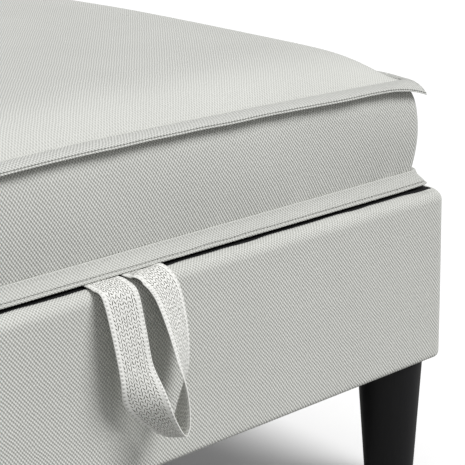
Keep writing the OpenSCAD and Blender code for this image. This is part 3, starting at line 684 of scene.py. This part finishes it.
rows_out, rows_in = np.linspace(0, 1, 40), np.linspace(1, 0, 10)
shares = np.concatenate([rows_out, rows_in])
depth = np.concatenate([0 * rows_out, COVER_T + 0 * rows_in])
boxing = swept("cushion_boxing", boxing_inset(shares) + depth, shares, CORNER_R, boxing_cloth_painted_shade,
               draw=SIDE_DRAW * shares, move=place_boxing)
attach(boxing, "lid")
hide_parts("cover_boxing")
tell(boxing)

# %% [markdown]
# The top panel is one surface of x and y. Its height is the seam's height plus a crown, which is a
# product of two flat-topped curves. Near the seam the cloth is gathered a little by the thread, so
# short ripples run inward from it and fade within a few centimetres.

# %% Top panel
PANEL, PANEL_POINTS = HALF - STITCH_IN, 181
PANEL_UNDER_LIP, PANEL_T = 1.4, 1.5
PUCKER, PUCKER_FADE = 0.3, 14.0


def crown_height(x, y):
    """Seam height with the corners' drop, plus crown (1 - u^16)(1 - v^16); u and v are 1 at the seam."""
    u, v = (abs(x) / PANEL).clip(0, 1), (abs(y) / PANEL).clip(0, 1)
    return Z_STITCH - CORNER_DROP * (u * v) ** 1.5 + CROWN * (1 - u ** POWER) * (1 - v ** POWER)


def crown_ripple(x, y):
    """Puckers along the seam that fade inward, and slow unevenness of the foam."""
    fade_x, fade_y = (np.exp(-(PANEL - abs(c)).clip(0) / PUCKER_FADE) for c in (x, y))
    pucker = PUCKER * (fade_y * ripple(x + HALF, 4 * HALF, 41, 60, 24)
                       + fade_x * ripple(y + HALF, 4 * HALF, 42, 60, 24))
    slow = sum(size * np.cos(x / across + y / deep + start) for size, across, deep, start in
               [(0.5, 61, 83, 0), (0.6, 117, -71, 2), (0.4, 43, -131, 0)])
    return pucker + slow * (1 - (abs(x) / PANEL) ** 4) * (1 - (abs(y) / PANEL) ** 4)


def top_panel_grid(drop):
    """Square grid, closer near its edges, drawn in at the middle of each side, with its heights."""
    t = np.linspace(-1, 1, PANEL_POINTS)
    t = np.sign(t) * (1 - (1 - abs(t)) ** 1.25)
    x, y = np.meshgrid(t * PANEL, t * PANEL)
    z = crown_height(x, y) + crown_ripple(x, y) - drop
    pull_x = SIDE_DRAW * (abs(x) / PANEL) ** 8 * (1 - (y / (HALF - FLANGE_IN)) ** 2)
    pull_y = SIDE_DRAW * (abs(y) / PANEL) ** 8 * (1 - (x / (HALF - FLANGE_IN)) ** 2)
    points = np.stack([x - np.sign(x) * pull_x, y - np.sign(y) * pull_y, z], -1)
    return points, np.stack([x, -y], -1) * MM


def closed_sheet(name, top, bottom, uv, material):
    """Two grids of the same size, joined round their edge into one closed piece."""
    index = np.arange(top.shape[0] * top.shape[1]).reshape(top.shape[:2])
    quads = np.stack([index[:-1, :-1], index[:-1, 1:], index[1:, 1:], index[1:, :-1]], -1).reshape(-1, 4)
    rim = np.concatenate([index[0, :-1], index[:-1, -1], index[-1, :0:-1], index[:0:-1, 0]])
    after = np.roll(rim, -1)
    wall = np.stack([rim, rim + index.size, after + index.size, after], -1)
    faces = np.concatenate([quads, quads[:, ::-1] + index.size, wall])
    points = np.concatenate([top.reshape(-1, 3), bottom.reshape(-1, 3)])
    return new_piece(name, points * MM, faces, uv.reshape(-1, 2)[faces % index.size], material)


top, top_uv = top_panel_grid(PANEL_UNDER_LIP)
bottom, _ = top_panel_grid(PANEL_UNDER_LIP + PANEL_T)
top_panel = closed_sheet("cushion_top", top, bottom, top_uv, top_cloth_painted_shade)
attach(top_panel, "lid")
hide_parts("cover_top_panel")
tell(top_panel)

# %% [markdown]
# Inside the cover is the foam block itself. Nobody sees it, but it is what gives the cushion its
# form, so it has the same form a little smaller: the boxing's rows at its sides and the crown above.

# %% Foam block
UNDER = np.array([0.0, 0.5, 0.97])[:, None]
OVER = np.array([1.0, 0.985, 0.96, 0.9, 0.8, 0.6, 0.3, 0.0])[:, None]
CROWN_STRETCH = 1.013
# How far the foam stays inside its cover: at the bottom seam, the sides, the top seam and the crown.
FOAM_LOW, FOAM_SIDE, FOAM_SEAM, FOAM_CROWN = 3.5, 3.2, 8.0, 6.5


def foam_rows():
    """Rings from the middle of the underside, out and up the sides, and in over the crown."""
    x, y = ring(np.full(len(UNDER), SEAM_IN + FOAM_LOW)) * UNDER
    below = np.stack([x, y, np.full(x.shape, Z_SEAM + 0.3)], -1)
    t = np.linspace(0, 1, 10)[:-1]
    x, y = ring(boxing_inset(t) + FOAM_SIDE, draw=SIDE_DRAW * t)
    sides = np.stack([x, y, Z_SEAM + 0.6 + t[:, None] * (stitch_height(x, y) - FOAM_SEAM - Z_SEAM)], -1)
    x, y = ring(np.full(len(OVER), STITCH_IN + 1.0), 8.0, SIDE_DRAW) * OVER
    above = np.stack([x, y, crown_height(x * CROWN_STRETCH, y * CROWN_STRETCH) - FOAM_CROWN], -1)
    return np.concatenate([below, sides, above])


foam = plain("foam", (0.88, 0.82, 0.62), relief=0.0006, grain=700.0)
block = skin("cushion_foam_block", foam_rows() * MM, round_columns=True, material=foam)
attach(block, "lid")
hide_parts("cushion_foam")
tell(block)

# %% [markdown]
# ## The flanges
# Where top panel and boxing meet, the seam allowances are sewn flat together some 17 mm from their
# edge, so they stand out as a thin double lip. Its edge shows a dark line between the two layers.
# At each corner the lip is longer and droops into a pointed ear.

# %% Top flange
LIP_POINTS = (170, 14)
LIP_DROOP, EAR_DROOP, EAR_SQUEEZE = 2.5, 10.5, 0.5
upper_lip = [(0.0, -1.3), (0.03, -0.6), (0.09, 0.1), (0.2, 0.65), (0.35, 0.85), (0.55, 0.85), (0.72, 0.65),
             (0.85, 0.35), (0.93, 0.0), (0.98, -0.5), (1.0, -1.05), (0.985, -1.5), (0.95, -1.75)]
under_lip = [(0.9, -1.95), (0.95, -2.05), (0.99, -2.2), (1.02, -2.6), (1.025, -3.1), (1.0, -3.55),
             (0.94, -3.85), (0.8, -3.9), (0.55, -3.6), (0.25, -3.1), (0.02, -2.6)]


def flange_grid(rows):
    """Rows of share of the way from stitching to edge and height over the lip's line, carried round the
    ring; that line falls by share^2 (droop + ear droop)."""
    share, over = rows[:, :1], rows[:, 1:]
    inset = STITCH_IN + share * (FLANGE_IN - STITCH_IN)
    x, y = ring(inset[:, 0], (6 - 3 * share[:, 0]).clip(2.6), SIDE_DRAW, *LIP_POINTS)
    ear = earness(x, y)
    wave = 0.14 * share * ring_ripple(51, 60, 30, points=LIP_POINTS) * (1 - ear)
    z = (stitch_height(x, y) - share ** 2 * (LIP_DROOP + EAR_DROOP * ear)
         + over * (1 - EAR_SQUEEZE * ear * (over < 0)) + wave)
    points = np.stack([x, y, z], -1)
    push_out(points, 0.2 * share * ring_ripple(52, 50, 24, points=LIP_POINTS), band=25.0)
    return points * MM, uv_grid(along(*LIP_POINTS), -lengths(np.hstack([inset, over])))


points, uv = flange_grid(np.array(upper_lip + under_lip))
top_lip = skin("cushion_top_flange", points, uv, round_rows=True, round_columns=True, material=edge_cloth_painted_shade)
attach(top_lip, "lid")
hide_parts("top_flange")
tell(top_lip)

# %% [markdown]
# The lower lip hides the lid board's edge. It leaves the boxing at a thin raised seam, slopes out and
# down, and ends in a stitched edge just above the rim of the box. Its corners are nearly sharp and
# curl up a little.

# %% Bottom flange
low_lip = np.array([
    (23.0, 330.9), (21.6, 332.2), (20.4, 332.9), (19.4, 332.9), (18.9, 332.2), (18.8, 331.2),
    (18.4, 329.8), (17.6, 327.6), (16.3, 325.5), (15.1, 323.5), (14.1, 321.9), (13.6, 321.2),
    (14.3, 320.8), (14.3, 320.3), (13.0, 319.9), (12.2, 319.2), (12.0, 318.4), (12.4, 317.5),
    (13.4, 317.05), (16.0, 317.1), (22.0, 317.8)])
LIP_FALL, LIP_BACK = 14.0, 318.0
lip_wander = 0.15 * ring_ripple(61, 80, 26)


def lip_radius(inset):
    """Corner radius of the lip: small at its edge, wider where it leaves the boxing."""
    return np.clip(6.0 + 0.5 * (inset - 12.0), 5.0, 9.0)


def curl(points):
    """Lifts the corners a little, and lets the edge wander by a fraction of a millimetre."""
    x, y, z = points[..., 0], points[..., 1], points[..., 2]
    low = ((Z_SEAM - z) / LIP_FALL).clip(0, 1)
    points[..., 2] += low * (earness(x, y) + lip_wander * (z > LIP_BACK))
    return points


bottom_lip = swept("cushion_bottom_flange", low_lip[:, 0], low_lip[:, 1], lip_radius(low_lip[:, 0]),
                   flange_cloth_painted_shade, move=curl, rise=-1)
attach(bottom_lip, "lid")
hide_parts("bottom_flange")
tell(bottom_lip)

# %% [markdown]
# Behind the lip the cover is turned under the lid board as a flat hem, whose inner part the black
# lining covers. It is a thin band round the ring, mitred at its corners.

# %% Turned hem
hem_in = [22.6, 22.6, 69.0, 70.5, 70.5, 69.0]
hem_z = [317.95, 318.95, 318.95, 318.7, 318.1, 317.95]
hem_along = np.array([0, 1.0, 47.4, 49.0, 49.6, 51.0, 97.4])
hem_radius = [5.0, 5.0, 0.8, 0.8, 0.8, 0.8]
hem = swept("cover_hem_cloth", hem_in, hem_z, hem_radius, flange_cloth_painted_shade, side=60, corner=6, v=hem_along)
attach(hem, "lid")
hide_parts("cover_hem")
tell(hem)

# %% [markdown]
# ## Stitches
# A lockstitch shows as short dashes of thread, each dipping into the cloth at both ends. Hundreds of
# them are needed, so one dash of a few dozen faces is worked out once, and all copies are placed in
# a single array sum: the place on the path, plus the dash turned to the path's direction.

# %% Stitch helper
DASH_ROWS, DASH_ROUND = 5, 6
thread = plain("thread", (0.70, 0.70, 0.67), rough=0.7, relief=0.0001, grain=2500.0, sheen=0.2)


def unit(vectors):
    """Vectors in rows, each divided by its own length."""
    return vectors / np.linalg.norm(vectors, axis=1, keepdims=True)


def stitch_row(name, path, outward, body, length=3.4, gap=0.9, radius=0.32, dip=0.25):
    """Dashes along a closed path in millimetres; outward points away from the cloth at each point.
    A dash is radius sqrt(1 - s^4) thick and dips by dip s^2, with s from -1 to 1 along it."""
    far = lengths(path)
    count = int(far[-1] // (length + gap))
    at = (np.arange(count) + 0.5) * far[-1] / count

    def look(distance, table):
        """Rows of a closed table, read at distances along the path."""
        return np.stack([np.interp(distance % far[-1], far, np.append(c, c[0])) for c in table.T], -1)

    middle, out = look(at, path), look(at, outward)
    tangent = unit(look(at + 0.4, path) - look(at - 0.4, path))
    side = unit(np.cross(out, tangent))
    middle, out, tangent, side = (v[:, None, None] for v in (middle, out, tangent, side))
    s = np.linspace(-1, 1, DASH_ROWS)
    girth = radius * np.sqrt((1 - (0.97 * s) ** 4))
    girth[[0, -1]] = 0
    s, girth = s[:, None, None], girth[:, None, None]
    a = np.linspace(0, 2 * np.pi, DASH_ROUND, endpoint=False)[:, None]
    grid = (middle + s * length / 2 * tangent + girth * np.cos(a) * side
            + (girth * np.sin(a) - dip * s ** 2) * out)
    first = np.arange(count)[:, None, None] * DASH_ROWS * DASH_ROUND
    row, c = first + np.arange(DASH_ROWS - 1)[:, None] * DASH_ROUND, np.arange(DASH_ROUND)
    after = (c + 1) % DASH_ROUND
    faces = np.stack([row + c, row + after, row + DASH_ROUND + after, row + DASH_ROUND + c], -1)
    made = new_piece(name, grid.reshape(-1, 3) * MM, faces.reshape(-1, 4), material=thread)
    merge_poles(made.data, outward=True)
    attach(made, body)
    print(name, count, "stitches")


SEAM_ROW_IN, SEAM_ROW_Z, SEAM_LIFT, FACE_UP = 13.45, 320.55, 0.75, 0.3
x, y = ring(SEAM_ROW_IN, lip_radius(SEAM_ROW_IN))[:, 0]
lip_path = np.stack([x, y, SEAM_ROW_Z + SEAM_LIFT * (earness(x, y) + lip_wander)], -1)
on_x_side = abs(x) > abs(y)
lip_out = unit(np.stack([np.sign(x) * on_x_side, np.sign(y) * ~on_x_side, np.full(len(x), FACE_UP)], -1))
stitch_row("bottom_flange_stitching", lip_path, lip_out, "lid")

# %% [markdown]
# ## The pull loop
# The loop is one length of cotton webbing. Both ends are stapled under the lid, 3 mm apart; the strip
# leaves the rim, hangs, and turns over at its lowest point. A cloth simulation would thin or kink a
# narrow strip, so its middle line is a smooth curve through a few points with a turn of its width at
# each, and a flat rounded section is carried along it.

# %% Webbing path
STRAP_W, STRAP_T, LOOP_Z = 35.0, 1.6, 316.2
UNDER_END, UNDER_ROWS, STEPS = -328.3, 30, 24
# Each row: x, y and z in millimetres, then the turn of the width and its tilt in degrees.
loop_rows = np.array([
    [-7.5, -388, 316.2, 0, 0], [-6.9, -397, 315, 2, 0], [-6.8, -410, 309.5, 3, -4],
    [-5.5, -418.2, 279, -1, -3], [-3, -423.4, 244, 0, 3], [2, -426, 221.5, 34, 12],
    [11.4, -432.5, 201.5, 78, 26], [22.3, -440, 187.6, 106, 23], [28.2, -438.6, 194.9, 107, 7],
    [36, -433.8, 216.7, 120, -2], [43.5, -425.8, 242, 142, 0], [45.5, -417, 272.4, 156, 0],
    [43, -407, 301.6, 167, 0], [36, -398, 314.6, 174, 1], [30.5, -388, 316.2, 180, 0]], float)


def smooth_rows(rows, steps):
    """Catmull-Rom curve: each stretch is a cubic through its two rows, sloped by their neighbours."""
    u = np.linspace(0, len(rows) - 1, (len(rows) - 1) * steps + 1)
    k = np.minimum(u.astype(int), len(rows) - 2)
    t = (u - k)[:, None]
    a, b, c, d = (rows[np.clip(k + i, 0, len(rows) - 1)] for i in (-1, 0, 1, 2))
    return 0.5 * (2 * b + (c - a) * t + (2 * a - 5 * b + 4 * c - d) * t ** 2
                  + (3 * b - a - 3 * c + d) * t ** 3)


def under_lid(row):
    """Level points under the lid, from the stapled end to a row of the curve at the rim."""
    y = np.linspace(UNDER_END, row[1], UNDER_ROWS, endpoint=False)
    return np.stack([np.full(UNDER_ROWS, row[0]), y, np.full(UNDER_ROWS, LOOP_Z)], -1)


q = smooth_rows(loop_rows, STEPS)
line = np.concatenate([under_lid(q[0]), q[:, :3], under_lid(q[-1])[::-1]])
turn = np.radians(np.pad(q[:, 3], UNDER_ROWS, constant_values=(0, 180)))
tilt = np.radians(np.pad(q[:, 4], UNDER_ROWS))
tangent = unit(np.gradient(line, axis=0))
across = np.stack([np.cos(turn) * np.cos(tilt), -np.sin(turn) * np.cos(tilt), np.sin(tilt)], -1)
across = unit(across - (across * tangent).sum(1, keepdims=True) * tangent)
facing = np.cross(across, tangent)
length = lengths(line, closed=False)
hanging = length[-UNDER_ROWS - 1] - length[UNDER_ROWS]
print("webbing length", round(float(length[-1])), "mm, of which", round(float(hanging)), "mm hang")

# %% [markdown]
# Webbing has its own weave: narrow columns of slanting floats that lean left and right in turn, with
# a plain selvedge at each side. The pattern reads the strip's UV map, whose first value runs across
# the strip and whose second runs along it, both in metres.

# %% Webbing material
# Distances from the strip's middle in metres: where the selvedge rises, where the stitched row starts
# and where it ends. DASH is the length of one of its stitches with its gap.
SELVEDGE, ROW_START, ROW_END, DASH = (0.0122, 0.0142), (0.0147, 0.0153), (0.0170, 0.0164), 0.0036
LEAN = 1.7


def make_herringbone():
    """Fleck = trough of wave((along + lean zigzag)/pitch), most in mid column; Edge = row of stitches."""
    group, given, result = effect("Herringbone webbing", ["Fleck", "Fibre", "Edge"],
                                  Column=0.0024, Pitch=0.0035)
    where = given["Where"]
    at = put(group, "ShaderNodeSeparateXYZ", {0: where}).outputs
    zigzag = sum_of(group, "PINGPONG", plus(group, at["X"], 1.0), given["Column"])
    drift = times(group, minus(group, noise(group, where, 230.0), 0.5), 1.5)
    run = sum_of(group, "DIVIDE", scaled(group, zigzag, LEAN, at["Y"]), given["Pitch"])
    trough = sum_of(group, "MAXIMUM", times(group, wave_of(group, plus(group, run, drift)), -1.0), 0.0)
    in_column = wave_of(group, sum_of(group, "DIVIDE", zigzag, given["Column"]))
    uneven = scaled(group, noise(group, where, 600.0, 2.0), 2.0, 0.1)
    fleck = times(group, times(group, trough, scaled(group, in_column, -0.5, 0.5)), uneven)
    edge = sum_of(group, "ABSOLUTE", at["X"])
    calm = minus(group, 1.0, between(group, edge, *SELVEDGE))
    row = times(group, between(group, edge, *ROW_START), between(group, edge, *ROW_END))
    dash = wave_of(group, sum_of(group, "DIVIDE", at["Y"], DASH))
    fill(group, result, {"Fleck": times(group, fleck, calm), "Edge": times(group, row, dash),
                         "Fibre": noise(group, where, 1500.0, 3.0, 0.7)})
    return group


herringbone = make_herringbone()


def webbing_material():
    """Pale cotton with dark flecks between its floats, a calm selvedge and a stitched row by each edge, the
    gaps between its stitches painted darker as painted shade.
    """
    made, tree, shader = new_material("webbing")
    h = use(tree, herringbone, on_cloth(tree))
    fuzz = times(tree, minus(tree, h["Fibre"], 0.5), 0.5)
    share = between(tree, plus(tree, times(tree, h["Fleck"], 1.7), fuzz), 0.0, 1.0)
    colour = blend_colours(tree, share, (0.88, 0.88, 0.85, 1), (0.13, 0.13, 0.10, 1))
    # painted shade: the gaps between the raised stitches of each row are darkened towards a grey
    stitch_gap_shade = sum_of(tree, "MAXIMUM", times(tree, h["Edge"], -0.6), 0.0)
    height = minus(tree, scaled(tree, h["Edge"], 0.5, 0.5), h["Fleck"])
    fill(tree, shader, {"Base Color": blend_colours(tree, stitch_gap_shade, colour, (0.34, 0.34, 0.31, 1)),
                        "Normal": bump(tree, height, 0.0006),
                        "Roughness": scaled(tree, h["Fleck"], 0.1, 0.85),
                        "Sheen Weight": 0.15, "Specular IOR Level": 0.25})
    return made


webbing = webbing_material()
print("webbing group has", len(herringbone.nodes), "nodes")

# %% Webbing strip
def strap_section(count=28):
    """Flat section with round edges: across = cos^0.45, thickness = sin^0.5, both signed."""
    a = np.linspace(0, 2 * np.pi, count, endpoint=False)
    c, s = np.cos(a), np.sin(a)
    return np.sign(c) * abs(c) ** 0.45 * STRAP_W / 2, np.sign(s) * abs(s) ** 0.5 * STRAP_T / 2


w, d = strap_section()
points = line[:, None] + w[:, None] * across[:, None] + d[:, None] * facing[:, None]
ends = line[[0, -1], None].repeat(len(w), 1)
points = np.concatenate([ends[:1], points, ends[1:]])
uv = uv_grid(np.append(w, w[0]), np.pad(length, 1, mode="edge"))
loop = skin("pull_loop_webbing", points * MM, uv, round_columns=True, material=webbing)
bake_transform(loop)
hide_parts("pull_loop", "loop_ends")
tell(loop)

# %% [markdown]
# ## Legs
# The legs are turned from wood and painted satin black. A cone with 64 flat faces would show its
# facets in the highlight, so the leg is a profile turned round its axis, with small roundings where
# a turner breaks the edges. The paint shows the grain faintly.

# %% Turned pieces
LEG_AT, LEG_TOP, LEG_FOOT, LEG_H = 362.0, 32.5, 23.5, 140.0


def turned(name, centre, profile, material, count=96):
    """A profile of radius and height turned round an upright axis; its first and last radius are zero."""
    a = np.linspace(0, 2 * np.pi, count, endpoint=False)
    r, z = np.asarray(profile, float).T
    grid = np.stack([centre[0] + r[:, None] * np.cos(a), centre[1] + r[:, None] * np.sin(a),
                     np.broadcast_to(z[:, None], (len(r), count))], -1)
    return skin(name, grid * MM, round_columns=True, material=material)


def painted_wood():
    """Satin black paint: grain lines run up the leg."""
    made, tree, shader = new_material("satin black paint")
    where = on_piece(tree)
    stretched = put(tree, "ShaderNodeMapping", {"Vector": where, "Scale": (60.0, 60.0, 3.0)}).outputs[0]
    grain, fine = noise(tree, stretched, 6.0, 4.0, 0.6), noise(tree, where, 900.0, 2.0)
    fill(tree, shader, {
        "Base Color": blend_colours(tree, grain, (0.004, 0.004, 0.005, 1), (0.009, 0.009, 0.01, 1)),
        "Normal": bump(tree, scaled(tree, fine, 0.25, grain), 0.00012, 0.7),
        "Roughness": scaled(tree, grain, 0.12, 0.38), "Specular IOR Level": 0.3})
    return made


paint = painted_wood()
z = np.linspace(5.0, 138.0, 24)
body_r = LEG_FOOT + (LEG_TOP - LEG_FOOT) * z / LEG_H
foot, head = [(0, 3.0), (20.5, 3.0), (22.2, 3.3), (23.2, 4.0)], [(32.35, 139.2), (31.6, 139.9), (0, 139.95)]
leg_profile = np.concatenate([foot, np.stack([body_r, z], -1), head])
for sy, fore in [(-1, "front"), (1, "back")]:
    for sx, hand in [(-1, "left"), (1, "right")]:
        leg = turned(f"{fore}_{hand}_leg", (sx * LEG_AT, sy * LEG_AT), leg_profile, paint)
        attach(leg, "base")
        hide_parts(f"leg_{fore}_{hand}")
tell(leg)

# %% [markdown]
# ## Boards and hardware
# The boards, screws, staples, hinges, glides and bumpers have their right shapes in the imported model
# already. They stay as they are and get finishes: plywood with layers and grain, bright zinc on the
# steel, a matte black rubber and a dark moulded plastic.

# %% Board material
def make_grain():
    """Grain = stretched cloud; Ring = waves of the distance across the board, bent by the cloud."""
    group, given, result = effect("Board grain", ["Grain", "Ring", "Speck"], Stretch=(1.5, 30.0, 30.0))
    where = given["Where"]
    long_way = put(group, "ShaderNodeMapping", {"Vector": where, "Scale": given["Stretch"]}).outputs[0]
    cloud = noise(group, long_way, 1.6, 4.0, 0.6)
    at = put(group, "ShaderNodeSeparateXYZ", {0: long_way}).outputs
    rings = sum_of(group, "SINE", plus(group, times(group, at["Y"], 3.0), times(group, cloud, 14.0)))
    fill(group, result, {"Grain": cloud, "Ring": scaled(group, rings, 0.5, 0.5),
                         "Speck": noise(group, where, 800.0, 2.0, 0.7)})
    return group


board_grain = make_grain()


def board_material():
    """Pale plywood: rings over grain over specks, matte."""
    made, tree, shader = new_material("plywood")
    g = use(tree, board_grain, on_piece(tree))
    colour = blend_colours(tree, g["Grain"], (0.50, 0.35, 0.20, 1), (0.72, 0.56, 0.37, 1))
    colour = blend_colours(tree, times(tree, g["Ring"], 0.35), colour, (0.42, 0.28, 0.15, 1))
    fill(tree, shader, {"Base Color": colour,
                        "Normal": bump(tree, plus(tree, g["Ring"], g["Speck"]), 0.0002, 0.5),
                        "Roughness": scaled(tree, g["Speck"], 0.2, 0.6)})
    return made


def zinc_material():
    """Zinc-plated steel: a slow cloud in its brightness and fine drawn lines in its roughness."""
    made, tree, shader = new_material("zinc steel")
    where = on_piece(tree)
    cloud, fine = noise(tree, where, 120.0, 3.0), noise(tree, where, 1500.0, 2.0)
    fill(tree, shader, {
        "Base Color": blend_colours(tree, cloud, (0.50, 0.50, 0.51, 1), (0.74, 0.74, 0.75, 1)),
        "Normal": bump(tree, fine, 0.00005, 0.6),
        "Roughness": scaled(tree, fine, 0.25, 0.22), "Metallic": 1.0})
    return made


plywood, zinc = board_material(), zinc_material()
rubber = plain("black rubber", (0.03, 0.03, 0.03), rough=0.8, relief=0.0001, sheen=0.0)
plastic = plain("grey plastic", (0.05, 0.05, 0.055), rough=0.5, relief=0.00008, sheen=0.0)
boards = ["front_panel", "back_panel", "left_panel", "right_panel", "bottom_board", "corner_blocks",
          "lid_board"]
finishes = {**dict.fromkeys(boards, plywood), "leg_glides": plastic, "lid_bumpers": rubber}
kept = [name for name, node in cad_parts.items() if not node.hide_render]
for name in kept:
    node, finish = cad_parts[name], finishes.get(name, zinc)
    for slot in node.material_slots:
        slot.material = finish
    if not node.material_slots:
        node.data.materials.append(finish)
print("carried over:", ", ".join(kept))

# %% [markdown]
# ## Floor, sky and lamp
# A product picture is lit in a white room by large soft lamps. Several area lamps could do it, but one
# far lamp whose disc is very wide gives the same soft shade and is easier to aim. It stands high to
# the right and in front, so the undersides of the lips and the left of the strap fall into shade, and
# the white room fills the rest. The camera sees plain white behind, without more light on the object.

# %% Studio
FLOOR_HALF = 12.0
WHITE = (1.0, 1.0, 1.0, 1)
paper, tree, shader = new_material("floor paper")
to_eye = put(tree, "ShaderNodeLightPath").outputs["Is Camera Ray"]
shade = noise(tree, on_piece(tree), 3.0)
pale = blend_colours(tree, shade, (0.34, 0.34, 0.335, 1), (0.37, 0.37, 0.365, 1))
fill(tree, shader, {"Base Color": blend_colours(tree, to_eye, pale, WHITE), "Roughness": 0.9,
                    "Emission Strength": times(tree, to_eye, 0.09), "Emission Color": WHITE})
square = np.array([(-1, -1, 0), (1, -1, 0), (1, 1, 0), (-1, 1, 0)]) * FLOOR_HALF
floor = new_piece("floor", square, np.arange(4)[None, :], material=paper, smooth=False)

world = bpy.data.worlds.new("white room")
world.use_nodes = True
bpy.context.scene.world = world
tree = world.node_tree
seen = put(tree, "ShaderNodeLightPath").outputs
to_eye = sum_of(tree, "MAXIMUM", seen["Is Camera Ray"], seen["Is Transmission Ray"])
room_light = blend_colours(tree, to_eye, (0.38, 0.38, 0.38, 1), WHITE)
fill(tree, tree.nodes["Background"], {"Color": room_light, "Strength": 1.0})


def soft_sun(name, towards, power, spread):
    """A very far lamp in a direction, whose disc is as wide as the spread in degrees."""
    lamp = bpy.data.lights.new(name, "SUN")
    lamp.energy, lamp.angle = power, np.radians(spread)
    add_object(name, lamp).matrix_world = Vector(towards).to_track_quat("Z", "Y").to_matrix().to_4x4()


soft_sun("key", (0.271, -0.581, 0.767), 2.55, 33.0)
print("floor, room and lamp made")
